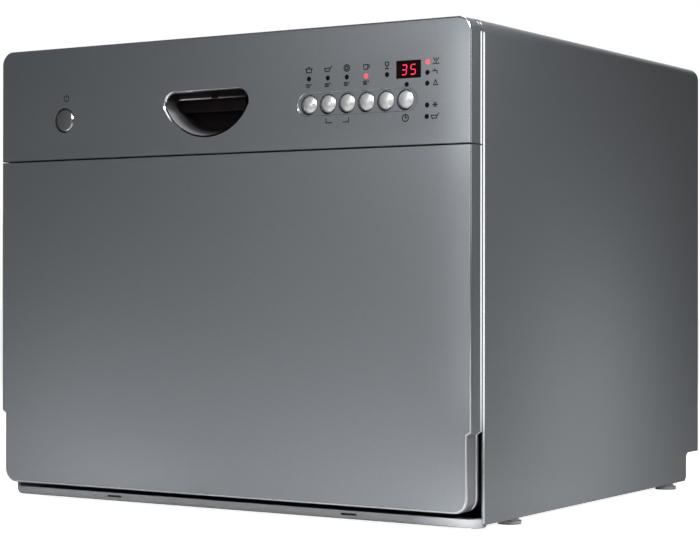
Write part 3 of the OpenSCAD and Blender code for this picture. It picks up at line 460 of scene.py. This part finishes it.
# Maker of each material, and what it needs after the name
RECIPES = {
    "front_paint": (metallic_paint, {"color": (0.160, 0.172, 0.184)}),
    "side_paint": (metallic_paint, {
        "color": (0.148, 0.159, 0.170), "flake": 0.10, "low": 0.40, "high": 0.52, "metal": 0.45}),
    "galvanised": (sheet_metal, {"color": (0.42, 0.43, 0.44)}),
    "screw_steel": (brushed, {"color": (0.55, 0.55, 0.55), "along": (1, 1, 1)}),
    "plinth_plastic": (painted_tray, {"color": (0.360, 0.375, 0.385), "inside": (0.006, 0.006, 0.007)}),
    "stainless": (brushed, {"color": (0.56, 0.57, 0.58)}),
    "seal_rubber": (soft_rubber, {"color": (0.018, 0.018, 0.019)}),
    "pressed_steel": (brushed, {
        "color": (0.45, 0.45, 0.45), "along": (1, 1, 40), "low": 0.3, "high": 0.5}),
    "sump_plastic": (moulded, {"color": (0.075, 0.078, 0.085)}),
    "arm_plastic": (moulded, {"color": (0.22, 0.235, 0.255)}),
    "heater_metal": (stained_tube, {}),
    "pump_plastic": (moulded, {"color": (0.02, 0.02, 0.022)}),
    "white_plastic": (moulded, {"color": (0.68, 0.68, 0.66), "spread": 0.02}),
    "recess_plastic": (dull_black, {
        "color": (0.0055, 0.0035, 0.004), "shine": 0.10, "low": 0.25, "high": 0.35}),
    "control_silver": (metallic_paint, {
        "color": (0.42, 0.43, 0.44), "flake": 0.05, "low": 0.22, "high": 0.3, "metal": 0.8}),
    "display_glass": (dull_black, {
        "color": (0.004, 0.0015, 0.0015), "shine": 0.10, "low": 0.1, "high": 0.16}),
    "lamp_dark": (dull_black, {"color": (0.004, 0.0035, 0.0035), "low": 0.2, "high": 0.3}),
    "lamp_lit": (glowing, {"color": (0.66, 0.06, 0.075), "strength": 0.42}),
    "edge_polish": (polished, {"color": (0.60, 0.61, 0.62)}),
    # Black that stands in for shade, in the grooves of the door skins and round the buttons
    "edge_groove": (dull_black, {"color": (0.004, 0.004, 0.004)}),
    "button_silver": (metallic_paint, {
        "color": (0.58, 0.585, 0.59), "flake": 0.04, "low": 0.30, "high": 0.36, "metal": 0.7}),
    "power_paint": (metallic_paint, {
        "color": (0.15, 0.155, 0.16), "low": 0.26, "high": 0.34, "metal": 0.6}),
    "recess_bowl": (bowl_plastic, {}),
    "lever_top": (lever_top, {}),
    "board": (board_green, {}),
    "dispenser_plastic": (moulded, {"color": (0.27, 0.285, 0.30)}),
    "rack_coating": (coated, {"color": (0.36, 0.38, 0.41)}),
    "rack_plastic": (moulded, {"color": (0.28, 0.30, 0.33)}),
    "basket_plastic": (moulded, {"color": (0.24, 0.265, 0.30)}),
    "filter_plastic": (moulded, {"color": (0.45, 0.47, 0.49)}),
    "foot_plastic": (moulded, {"color": (0.30, 0.30, 0.30)}),
    "ink": (dull_black, {"color": (0.004, 0.004, 0.004), "shine": 0.05}),
    "digits": (glowing, {"color": (0.62, 0.025, 0.07), "strength": 0.5}),
}
MATS = {name: make(name, **values) for name, (make, values) in RECIPES.items()}

# Nodes whose look differs from the usual one of their slot
NODE_LOOKS = {"button_bezel": "front_paint", "handle_cup": "recess_bowl"}


def dress_nodes():
    """Every CAD node that stays takes the material of its slot."""
    for part in frame["record"]["subparts"]:
        obj = NODES.get(part["node"])
        if obj is None:
            continue
        mat = MATS[NODE_LOOKS.get(part["node"], part["material_slot"])]
        if not obj.material_slots:
            obj.data.materials.append(mat)
        for slot in obj.material_slots:
            slot.material = mat


# ------------------------------------------------------------ mesh helpers

def smooth(bm, degrees=SMOOTH_DEG):
    """Smooth shading, with a hard edge where two faces meet at more than an angle."""
    for face in bm.faces:
        face.smooth = True
    for edge in bm.edges:
        if len(edge.link_faces) == 2:
            edge.smooth = edge.calc_face_angle(0.0) <= math.radians(degrees)


def scale_down(bm):
    """Turns a bmesh made in millimetres into metres, with its faces looking outwards."""
    bmesh.ops.scale(bm, vec=(MM, MM, MM), verts=bm.verts)
    bmesh.ops.recalc_face_normals(bm, faces=bm.faces)


def add_object(name, bm):
    """Puts a finished bmesh into the scene."""
    mesh = bpy.data.meshes.new(name)
    bm.to_mesh(mesh)
    bm.free()
    obj = bpy.data.objects.new(name, mesh)
    bpy.context.collection.objects.link(obj)
    return obj


def to_object(name, bm, looks, body, smooth_deg=SMOOTH_DEG):
    """Turns a bmesh made in millimetres into a piece of the part, with one material or more."""
    scale_down(bm)
    smooth(bm, smooth_deg)
    obj = add_object(name, bm)
    for look in looks:
        obj.data.materials.append(MATS[look])
    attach(obj, body)
    return obj


def bridge(bm, rings, closed=False, looks=None):
    """Joins rings into a skin, capped or closed on itself. Looks gives the material number of some bands."""
    loops = [[bm.verts.new(p) for p in ring] for ring in rings]
    if closed:
        loops.append(loops[0])
    for band, (first, second) in enumerate(zip(loops, loops[1:])):
        for i in range(len(first)):
            j = (i + 1) % len(first)
            face = bm.faces.new((first[i], first[j], second[j], second[i]))
            face.material_index = looks.get(band, 0) if looks else 0
    if not closed:
        bm.faces.new(loops[0])
        bm.faces.new(reversed(loops[-1]))


def at_depth(outline, y):
    """Lifts an outline of (x, z) points into the plane at y."""
    return [(x, y, z) for x, z in outline]


def arc(center, radius, start=0, end=360, steps=20):
    """Points along an arc, counter-clockwise between two angles in degrees."""
    points = []
    for i in range(steps + 1):
        a = math.radians(start + (end - start) * i / steps)
        points.append((center[0] + radius * math.cos(a), center[1] + radius * math.sin(a)))
    return points


def circle(center, radius, steps):
    """Closed outline: an arc without its last point, which is the first again."""
    return arc(center, radius, 0, 360, steps)[:-1]


def mirrored(right):
    """A right half, counter-clockwise from the bottom, and its mirror image."""
    return right + [(-x, z) for x, z in reversed(right)]


def rounded(x, z, r, steps):
    """Rectangle with round corners, counter-clockwise."""
    corners = [(x[1] - r, z[0] + r), (x[1] - r, z[1] - r), (x[0] + r, z[1] - r), (x[0] + r, z[0] + r)]
    points = []
    for i, center in enumerate(corners):
        points += arc(center, r, 90 * i - 90, 90 * i, steps)
    return points


def inset(points, amount):
    """Moves a counter-clockwise outline inwards by an amount."""
    result = []
    for i, here in enumerate(points):
        before, after = points[i - 1], points[(i + 1) % len(points)]
        a = Vector((here[0] - before[0], here[1] - before[1])).normalized()
        b = Vector((after[0] - here[0], after[1] - here[1])).normalized()
        normal = Vector((-a.y, a.x))
        middle = (normal + Vector((-b.y, b.x))).normalized()
        reach = amount / max(0.5, middle.dot(normal))
        result.append((here[0] + middle.x * reach, here[1] + middle.y * reach))
    return result


# ------------------------------------------------------------ door skins

# Material numbers of a skin, and its bands that don't take the front paint: the rounded front edge and the
# slope behind the groove are bright, the groove itself is black with painted shade
SKIN_MATS = ("front_paint", "edge_polish", "edge_groove")
BRIGHT, SHADED = 1, 2
SKIN_LOOKS = {1: BRIGHT, 2: BRIGHT, 3: BRIGHT, 4: BRIGHT, 5: BRIGHT, 8: SHADED, 9: SHADED, 10: BRIGHT}


def skin_rings(outline):
    """Outlines and depths of an open-backed skin with a rounded front edge, a groove and a hem."""
    rings = []
    for i in range(EDGE_STEPS + 1):
        a = math.pi / 2 * i / EDGE_STEPS
        rings.append((inset(outline, EDGE * (1 - math.sin(a))), FACE_Y + EDGE * (1 - math.cos(a))))
    front, back = GROOVE_FLOOR
    rings.append((outline, SHELL_BACK - GROOVE_FRONT))
    rings.append((inset(outline, HEM), SHELL_BACK - front))
    rings.append((inset(outline, HEM), SHELL_BACK - back))
    rings.append((outline, SHELL_BACK - back + HEM))
    rings.append((outline, SHELL_BACK))
    rings.append((inset(outline, WALL), SHELL_BACK))
    rings.append((inset(outline, WALL), FACE_Y + WALL))
    return rings


def skin(name, outline, seam, up):
    """Door skin whose edge along the seam stays nearly square, so that the gap stays narrow."""
    def held(x, z):
        away = (z - seam) * up
        return (x, seam + up * min(away, SEAM_ROUND)) if away < SEAM_REACH else (x, z)

    bm = bmesh.new()
    rings = [at_depth([held(x, z) for x, z in ring], y) for ring, y in skin_rings(outline)]
    bridge(bm, rings, looks=SKIN_LOOKS)
    return to_object(name, bm, SKIN_MATS, "door")


def door_skin():
    """Panel below the seam, stepped in at both lower corners."""
    seam = SEAM - SEAM_GAP / 2
    low = HALF_W - NOTCH_IN
    right = arc((low - CORNER, DOOR_LOW + CORNER), CORNER, -90, 0, 10)
    right += [(low, NOTCH_Z), (HALF_W, NOTCH_Z + NOTCH_RISE), (HALF_W, seam)]
    obj = skin("door_skin", mirrored(right), seam, -1)
    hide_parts("door_panel")


def fascia_skin():
    """Fascia above the seam, with its openings."""
    seam = SEAM + SEAM_GAP / 2
    right = [(HALF_W, seam)] + arc((HALF_W - CORNER, TOP_Z - CORNER), CORNER, 0, 90, 10)
    obj = skin("fascia_skin", mirrored(right), seam, 1)
    openings = [recess_outline(), bezel_outline(), rounded(DISPLAY_X, DISPLAY_Z, DISPLAY_R, 4)]
    openings.append(circle(POWER, POWER_HOLE_R, 40))
    openings += [circle(place, LAMP_R, 24) for place in LAMP_PLACES]
    cut(obj, [cutter(outline) for outline in openings])
    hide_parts("control_fascia")


def recess_outline():
    """Flat top with round shoulders, and a wide bowl below with upright ends."""
    mid = sum(RECESS_X) / 2
    half = (RECESS_X[1] - RECESS_X[0]) / 2
    low, top = RECESS_Z
    tilt = math.asin((RECESS_BOWL_RISE - RECESS_BOWL) / RECESS_BOWL)
    side = min(half, RECESS_SPREAD * RECESS_BOWL * math.cos(tilt)) - RECESS_SHOULDER
    turn = math.degrees(tilt)
    points = []
    for x, z in arc((0, low + RECESS_BOWL), RECESS_BOWL, -180 - turn, turn, 28):
        points.append((mid + max(-half, min(half, RECESS_SPREAD * x)), z))
    points += arc((mid + side, top - RECESS_SHOULDER), RECESS_SHOULDER, 0, 90, 8)
    points += arc((mid - side, top - RECESS_SHOULDER), RECESS_SHOULDER, 90, 180, 8)
    return points


def bezel_outline():
    """Long opening round the programme buttons."""
    return rounded(BEZEL_X, BEZEL_Z, BEZEL_R, 10)


def cutter(outline):
    """Temporary solid that reaches through the front wall of a skin."""
    bm = bmesh.new()
    bridge(bm, [at_depth(outline, y) for y in CUTTER_Y])
    scale_down(bm)
    return add_object("cutter", bm)


def cut(obj, cutters):
    """Subtracts cutters from an object, removes them and sets its hard edges again."""
    for tool in cutters:
        mod = obj.modifiers.new("cut", "BOOLEAN")
        mod.operation = "DIFFERENCE"
        mod.solver = "EXACT"
        mod.object = tool
    bpy.context.view_layer.update()
    deps = bpy.context.evaluated_depsgraph_get()
    whole = obj.data
    obj.data = bpy.data.meshes.new_from_object(obj.evaluated_get(deps))
    obj.modifiers.clear()
    bpy.data.meshes.remove(whole)
    for tool in cutters:
        bpy.data.objects.remove(tool)
    bm = bmesh.new()
    bm.from_mesh(obj.data)
    smooth(bm)
    bm.to_mesh(obj.data)
    bm.free()


# ------------------------------------------------------------ rims, buttons and lever

def rim(name, outline, width, depth):
    """Bright chamfer that lines an opening in the fascia."""
    bm = bmesh.new()
    inner, outer = inset(outline, width), inset(outline, RIM_CLEAR)
    back = FACE_Y + depth + RIM_THICK
    rings = [(outer, FACE_Y + RIM_SUNK), (inner, FACE_Y + depth), (inner, back), (outer, back)]
    bridge(bm, [at_depth(ring, y) for ring, y in rings], closed=True)
    to_object(name, bm, ["edge_polish"], "door", 50)


def cap_profile(r, steep, lip, chamfer=False):
    """Cap that gets steeper to its rim, a rounded lip or a straight chamfer, and a straight side."""
    rim_a = math.radians(steep)
    ball = (r - lip) / math.sin(rim_a)
    profile = []
    for i in range(1, CAP_STEPS + 1):
        a = rim_a * i / CAP_STEPS
        profile.append((ball * math.sin(a), FACE_Y - BUTTON_RISE + ball * (1 - math.cos(a))))
    edge_y = profile[-1][1]
    for i in range(1, LIP_STEPS + 1):
        share = i / LIP_STEPS
        a = rim_a + (math.pi / 2 - rim_a) * share
        fall = share if chamfer else 1 - math.cos(a) / math.cos(rim_a)
        profile.append((r - lip + lip * share, edge_y + lip * fall))
    return profile + [(r, FACE_Y + BUTTON_ROOT)]


def button(name, center, profile, look, body, node, looks=None):
    """Turns a profile of (radius, y) pairs round a line along Y."""
    bm = bmesh.new()
    bridge(bm, [at_depth(circle(center, r, 56), y) for r, y in profile], looks=looks)
    obj = to_object(name, bm, [look, "edge_polish"], body, 60)
    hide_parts(node)


def buttons():
    cap = cap_profile(*KEY_CAP)
    for i, x in enumerate(BUTTON_X, 1):
        place = (x, BUTTON_Z)
        button("key_dome_%d" % i, place, cap, "button_silver", "key_%d" % i, "program_button_%d" % i)
    cap = cap_profile(*POWER_CAP, chamfer=True)
    polish = {band: BRIGHT for band in range(CAP_STEPS, CAP_STEPS + LIP_STEPS)}
    button("power_dome", POWER, cap, "power_paint", "power", "power_button", polish)


def button_shade_rings():
    """Ring of painted shade round each programme button, widest at the lower left."""
    bm = bmesh.new()
    for x in BUTTON_X:
        inner = circle((x, BUTTON_Z), SHADE_RING_R[0], 48)
        outer = []
        for px, pz in circle((0, 0), 1.0, 48):
            lean = max(0.0, px * math.cos(SHADE_RING_TURN) + pz * math.sin(SHADE_RING_TURN))
            wide = SHADE_RING_R[1] + SHADE_RING_WIDER * lean ** 1.5
            outer.append((x + wide * px, BUTTON_Z + wide * pz))
        back = SHADE_RING_Y + 0.06
        rings = [(inner, SHADE_RING_Y), (outer, SHADE_RING_Y), (outer, back), (inner, back)]
        bridge(bm, [at_depth(ring, y) for ring, y in rings], closed=True)
    to_object("button_shade_rings", bm, ["edge_groove"], "door")


def finger_lever():
    """Flap across the recess with a painted highlight on its top edge, its pin and the arm that trips the
    hook.
    """
    y, pin_z = LEVER_PIVOT
    low, high = LEVER_Z
    front, back = y - LEVER_HALF, y + LEVER_HALF
    section = [
        (front, low + 1), (front + 0.6, low), (back, low), (back, high - 0.6),
        (y + 0.6, high), (y - 0.3, high), (front, high - 2.0),
    ]
    left, right = LEVER_X
    ends = [(left, LEVER_END_SCALE), (left + LEVER_END, 1), (right - LEVER_END, 1), (right, LEVER_END_SCALE)]
    mid = (low + high) / 2
    bm = bmesh.new()
    bridge(bm, [[(x, py, mid + (pz - mid) * scale) for py, pz in section] for x, scale in ends])
    # Faces along the top edge take the painted highlight
    for face in bm.faces:
        middle = face.calc_center_median()
        if middle.z > high - LEVER_HIGHLIGHT and middle.y < y + 0.6:
            face.material_index = 1
    arm = (LEVER_ARM_X, (y - 1.4, y + 1.4), (pin_z + 2, pin_z + 11.4))
    pin = (LEVER_PIN_X, (y + 0.4, y + 2.0), (pin_z - 1, pin_z + 1))
    for xs, (y0, y1), (z0, z1) in (arm, pin):
        bridge(bm, [[(x, y0, z0), (x, y1, z0), (x, y1, z1), (x, y0, z1)] for x in xs])
    obj = to_object("finger_lever", bm, ["recess_plastic", "lever_top"], "lever")
    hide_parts("handle_lever")


def casing_hem():
    """Bright chamfer on the front edge of the casing sheet."""
    path = mirrored([(HALF_W, CASING_LOW)] + arc((HALF_W - CORNER, TOP_Z - CORNER), CORNER, 0, 90, 8))
    corners = [(0.0, 0.0), (CASING_CHAMFER, -CASING_CHAMFER), (CASING_CHAMFER, 0.0)]
    rings = []
    for i, (x, z) in enumerate(path):
        along = Vector(path[min(len(path) - 1, i + 1)]) - Vector(path[max(0, i - 1)])
        along.normalize()
        rings.append([(x - along.y * d, CASING_FRONT + y, z + along.x * d) for d, y in corners])
    bm = bmesh.new()
    bridge(bm, rings)
    to_object("casing_hem", bm, ["edge_polish"], "cabinet", 30)


# ------------------------------------------------------------ printed marks and display

# Lines of the small pictures, in millimetres from their middle
ICONS = {
    "pot": [
        [(-3, 1), (-2.4, -2.4), (2.4, -2.4), (3, 1)],
        [(-3.8, 1), (3.8, 1)],
        [(-1, 2.2), (1, 2.2)],
    ],
    "pan": [
        [(-3.6, 0.6), (-2.6, -2), (1.6, -2), (2.6, 0.6), (-3.6, 0.6)],
        [(2.6, 0.6), (4.4, 2.4)],
    ],
    "plate": [arc((0, 0), 3.0), arc((0, 0), 1.5)],
    "glass": [
        [(-2, 3), (-1.7, 0.6), (0, -0.6), (1.7, 0.6), (2, 3), (-2, 3)],
        [(0, -0.6), (0, -2.8)],
        [(-1.6, -2.8), (1.6, -2.8)],
    ],
    "cup": [
        [(-2.6, 1.8), (-2.2, -2.2), (1.6, -2.2), (2, 1.8), (-2.6, 1.8)],
        arc((2.4, 0.2), 1.2, -90, 90, 8),
    ],
    "spray": [
        [(-3, -2), (3, -2)],
        [(0, -2), (0, 0)],
        *[[(d, 0.6), (1.7 * d, 3)] for d in (-1.4, 0, 1.4)],
    ],
    "clock": [arc((0, 0), 3.1, steps=24), [(0, 2.1), (0, 0), (1.6, 0)]],
    "power": [arc((0, 0), 3.0, 125, 415, 24), [(0, 0.6), (0, 3.6)]],
    "drops": [[(-2, -2), (0, 2.4), (2, -2), (-2, -2)]],
    "tap": [[(-3, 1), (1.4, 1), (1.4, -1.4)], [(-1, 2.6), (-1, 1)]],
    "star": [[(-2.4, 0), (2.4, 0)], [(-1.2, -2.1), (1.2, 2.1)], [(1.2, -2.1), (-1.2, 2.1)]],
}
ICON_PLACES = [
    ("pot", (102.8, 416.2)), ("pan", (123.4, 416.0)), ("plate", (143.9, 415.8)),
    ("cup", (164.4, 415.8)), ("glass", (186.5, 415.6)),
    ("spray", (237.0, 416.6)), ("tap", (236.6, 407.2)), ("drops", (236.4, 397.8)),
    ("star", (236.0, 378.4)), ("pan", (235.6, 368.4)),
    ("clock", (205.6, 367.8)), ("power", (-186.9, 404.4)),
]

# Lines of the printed digits, in widths and half heights
DIGIT_LINES = {
    "0": [[(0, 0), (1, 0), (1, 2), (0, 2), (0, 0)]],
    "5": [[(1, 2), (0, 2), (0, 1), (1, 1), (1, 0), (0, 0)]],
    "6": [[(1, 2), (0, 2), (0, 0), (1, 0), (1, 1), (0, 1)]],
    "7": [[(0, 2), (1, 2), (0.4, 0)]],
}

# Bars of a display digit, in widths and half heights, and the bars that are lit from each left edge
SEGMENTS = {
    "a": ((0, 2), (1, 2)), "b": ((1, 1), (1, 2)), "c": ((1, 0), (1, 1)),
    "d": ((0, 0), (1, 0)), "f": ((0, 1), (0, 2)), "g": ((0, 1), (1, 1)),
}
LIT_SEGMENTS = [(201.4, "abgcd"), (210.6, "afgcd")]


def strip(bm, points, width):
    """Thin flat line through points, for printed marks."""
    for start, end in zip(points, points[1:]):
        a, b = Vector(start), Vector(end)
        along = (b - a).normalized() * width / 2
        across = Vector((-along.y, along.x))
        ring = [a - along + across, b + along + across, b + along - across, a - along - across]
        bridge(bm, [at_depth(ring, PRINT_Y), at_depth(ring, PRINT_Y + INK)])


def printed_marks():
    """Small pictures, and the two brackets below the second and third button."""
    bm = bmesh.new()
    for name, (x, z) in ICON_PLACES:
        for line in ICONS[name]:
            strip(bm, [(x + px, z + pz) for px, pz in line], MARK_LINE)
    high = BRACKET_Z + BRACKET_H
    left, right = BUTTON_X[1] - 2, BUTTON_X[2] + 2
    strip(bm, [(left, high), (left, BRACKET_Z), (left + BRACKET_W, BRACKET_Z)], MARK_LINE)
    strip(bm, [(right - BRACKET_W, BRACKET_Z), (right, BRACKET_Z), (right, high)], MARK_LINE)
    to_object("panel_marks", bm, ["ink"], "door")


def printed_numbers():
    """Temperatures below the first four lamps."""
    bm = bmesh.new()
    middles = (BUTTON_X[0] - 0.4, *BUTTON_X[1:4])
    for middle, digits in zip(middles, ("70", "65", "55", "50")):
        for i, digit in enumerate(digits):
            left = middle + NUMBER_LEFT + NUMBER_STEP * i
            for line in DIGIT_LINES[digit]:
                points = [(left + NUMBER_W * u, NUMBER_Z + NUMBER_HALF * v) for u, v in line]
                strip(bm, points, NUMBER_LINE)
        strip(bm, arc((middle + 2.4, NUMBER_Z + 2.6), 0.5, steps=8), DEGREE_LINE)
    to_object("panel_numbers", bm, ["ink"], "door")


def segment(bm, left, ends):
    """One bar of a display digit, pointed at both ends. The digit leans to the right."""
    a, b = [Vector((left + DIGIT_W * u, DIGIT_Z + DIGIT_HALF * v)) for u, v in ends]
    along = (b - a).normalized()
    side = Vector((-along.y, along.x)) * DIGIT_LINE / 2
    a, b = a + along * DIGIT_GAP, b - along * DIGIT_GAP
    tip = along * DIGIT_LINE / 2
    ring = [a, a + tip + side, b - tip + side, b, b - tip - side, a + tip - side]
    leaning = [(p.x + (p.y - DIGIT_Z) * DIGIT_SLANT, p.y) for p in ring]
    bridge(bm, [at_depth(leaning, DIGIT_Y), at_depth(leaning, DIGIT_Y + DIGIT_THICK)])


def display_digits():
    """The number on the display."""
    bm = bmesh.new()
    for left, names in LIT_SEGMENTS:
        for name in names:
            segment(bm, left, SEGMENTS[name])
    to_object("display_digits", bm, ["digits"], "door")


# ------------------------------------------------------------ stage, in metres

WORLD_TINT = (0.95, 0.97, 1.0)
WORLD_STRENGTH = 0.05
GLOSSY_SHARE = 0.10
FLOOR_HALF = 9.0
FLOOR_Z = -0.0002
FLOOR_GREY = 0.9
FLOOR_GLOW = 0.90
CAMERA_PLACE = (1.0898, -1.7450, 0.2237)
CAMERA_TURN = (math.pi / 2 + 0.0029, -0.001, 0.5642)
CAMERA_LENS = 100.23

# Lamps: name, place, target, size, power, and "soft" where polished pieces don't mirror the lamp
# or "mirror" where it is seen in them alone
LAMPS = [
    ("front_mid", (0, -1.9, 0.5), (0, -0.256, 0.3), (0.8, 0.8), 3.3),
    ("front_right_near", (0.45, -0.7, 0.75), (0.2, -0.256, 0.40), (0.25, 0.25), 2.8),
    ("right_top_near", (0.38, -0.45, 0.62), (0.24, -0.256, 0.42), (0.1, 0.1), 1.7),
    ("right_softbox", (1.45, -1.0, 0.35), (0.2725, -0.25, 0.25), (0.3, 0.9), 1.7),
    ("right_high_softbox", (0.62, -0.80, 1.20), (-0.05, -0.256, 0.38), (0.55, 0.9), 2.6, "mirror"),
    ("right_edge_high", (0.270, -0.280, 0.385), (0.270, -0.256, 0.385), (0.012, 0.12), 0.045, "soft"),
    ("right_edge", (0.270, -0.280, 0.22), (0.270, -0.256, 0.22), (0.012, 0.22), 0.035, "soft"),
    ("corner_low", (0.262, -0.33, 0.014), (0.262, -0.24, 0.012), (0.04, 0.02), 0.05, "soft"),
    ("front_floor", (0, -0.75, 0.015), (0, -0.256, 0.12), (0.9, 0.3), 1.2, "soft"),
    ("front_floor_left", (-0.45, -0.6, 0.015), (-0.2, -0.256, 0.10), (0.3, 0.25), 0.42, "soft"),
    ("front_low", (0, -0.42, 0.012), (0, -0.256, 0.07), (0.56, 0.06), 0.62, "soft"),
    ("front_low_left", (-0.2, -0.40, 0.012), (-0.2, -0.256, 0.06), (0.15, 0.06), 0.25, "soft"),
    ("front_low_right", (0.17, -0.40, 0.012), (0.17, -0.256, 0.06), (0.22, 0.06), 0.17, "soft"),
    ("side_low", (0.5, -0.02, 0.10), (0.2725, 0.0, 0.15), (0.2, 0.08), 0.80, "soft"),
    ("side_front", (0.62, -0.42, 0.25), (0.2725, -0.15, 0.22), (0.1, 0.25), 0.05, "soft"),
    ("side_floor_front", (0.55, -0.25, 0.015), (0.27, -0.12, 0.06), (0.25, 0.2), 0.15, "soft"),
    ("top", (0, 0.60, 1.9), (0, 0.60, 0.4), (0.5, 1.3), 9.0),
    ("back", (-0.5, 1.9, 0.9), (0, 0.26, 0.25), (1.2, 1.0), 7.0),
    ("left", (-1.9, 0.35, 0.7), (-0.27, 0, 0.25), (1.0, 0.9), 5.0),
]


def lamp(name, place, target, size, power, rays="all"):
    """Area lamp that the camera doesn't see."""
    light = bpy.data.lights.new(name, "AREA")
    light.shape = "RECTANGLE"
    light.size, light.size_y = size
    light.energy = power
    obj = bpy.data.objects.new(name, light)
    bpy.context.collection.objects.link(obj)
    obj.location = place
    obj.rotation_euler = (Vector(target) - Vector(place)).to_track_quat("-Z", "Y").to_euler()
    obj.visible_camera = False
    obj.visible_glossy = rays != "soft"
    obj.visible_diffuse = rays != "mirror"


def make_world():
    """White to the camera and through glass, a tenth of it to mirrored rays, and dim to all others."""
    world = bpy.data.worlds.new("studio")
    bpy.context.scene.world = world
    world.use_nodes = True
    tree = world.node_tree
    nodes, links = tree.nodes, tree.links
    dim = nodes["Background"]
    dim.inputs["Color"].default_value = (*WORLD_TINT, 1)
    dim.inputs["Strength"].default_value = WORLD_STRENGTH
    white = nodes.new("ShaderNodeBackground")
    white.inputs["Color"].default_value = (1, 1, 1, 1)
    rays = nodes.new("ShaderNodeLightPath").outputs
    seen = add_math(tree, "MAXIMUM", rays["Is Camera Ray"], rays["Is Transmission Ray"])
    glossy = add_math(tree, "MULTIPLY", rays["Is Glossy Ray"], GLOSSY_SHARE)
    mix = nodes.new("ShaderNodeMixShader")
    for i, out in enumerate((add_math(tree, "MAXIMUM", seen, glossy), dim.outputs[0], white.outputs[0])):
        links.new(out, mix.inputs[i])
    links.new(mix.outputs[0], nodes["World Output"].inputs["Surface"])


def make_floor():
    """White floor that takes the part's shadow and glows to the camera alone."""
    bm = bmesh.new()
    corners = ((-1, -1), (1, -1), (1, 1), (-1, 1))
    bm.faces.new([bm.verts.new((FLOOR_HALF * x, FLOOR_HALF * y, FLOOR_Z)) for x, y in corners])
    obj = add_object("floor", bm)
    mat = bpy.data.materials.new("floor")
    mat.use_nodes = True
    tree = mat.node_tree
    nodes, links = tree.nodes, tree.links
    bsdf = nodes["Principled BSDF"]
    bsdf.inputs["Base Color"].default_value = (FLOOR_GREY, FLOOR_GREY, FLOOR_GREY, 1)
    bsdf.inputs["Roughness"].default_value = 1.0
    bsdf.inputs["Specular IOR Level"].default_value = 0.0
    glow = nodes.new("ShaderNodeEmission")
    glow.inputs["Color"].default_value = (1, 1, 1, 1)
    rays = nodes.new("ShaderNodeLightPath").outputs
    links.new(add_math(tree, "MULTIPLY", rays["Is Camera Ray"], FLOOR_GLOW), glow.inputs["Strength"])
    both = nodes.new("ShaderNodeAddShader")
    links.new(bsdf.outputs[0], both.inputs[0])
    links.new(glow.outputs[0], both.inputs[1])
    links.new(both.outputs[0], nodes["Material Output"].inputs["Surface"])
    obj.data.materials.append(mat)


def make_camera():
    """Camera fitted to the straight edges in the photograph."""
    cam = bpy.data.cameras.new("camera")
    cam.sensor_width = 36.0
    cam.lens = CAMERA_LENS
    cam.clip_end = 50
    obj = bpy.data.objects.new("camera", cam)
    bpy.context.collection.objects.link(obj)
    obj.location = CAMERA_PLACE
    obj.rotation_euler = CAMERA_TURN
    bpy.context.scene.camera = obj


# ------------------------------------------------------------ build

dress_nodes()
door_skin()
fascia_skin()
rim("recess_rim", recess_outline(), *RECESS_RIM)
rim("bezel_rim", bezel_outline(), *BEZEL_RIM)
buttons()
button_shade_rings()
finger_lever()
casing_hem()
printed_marks()
printed_numbers()
display_digits()
make_world()
make_floor()
for row in LAMPS:
    lamp(*row)
make_camera()
bpy.context.scene.view_settings.view_transform = "Standard"
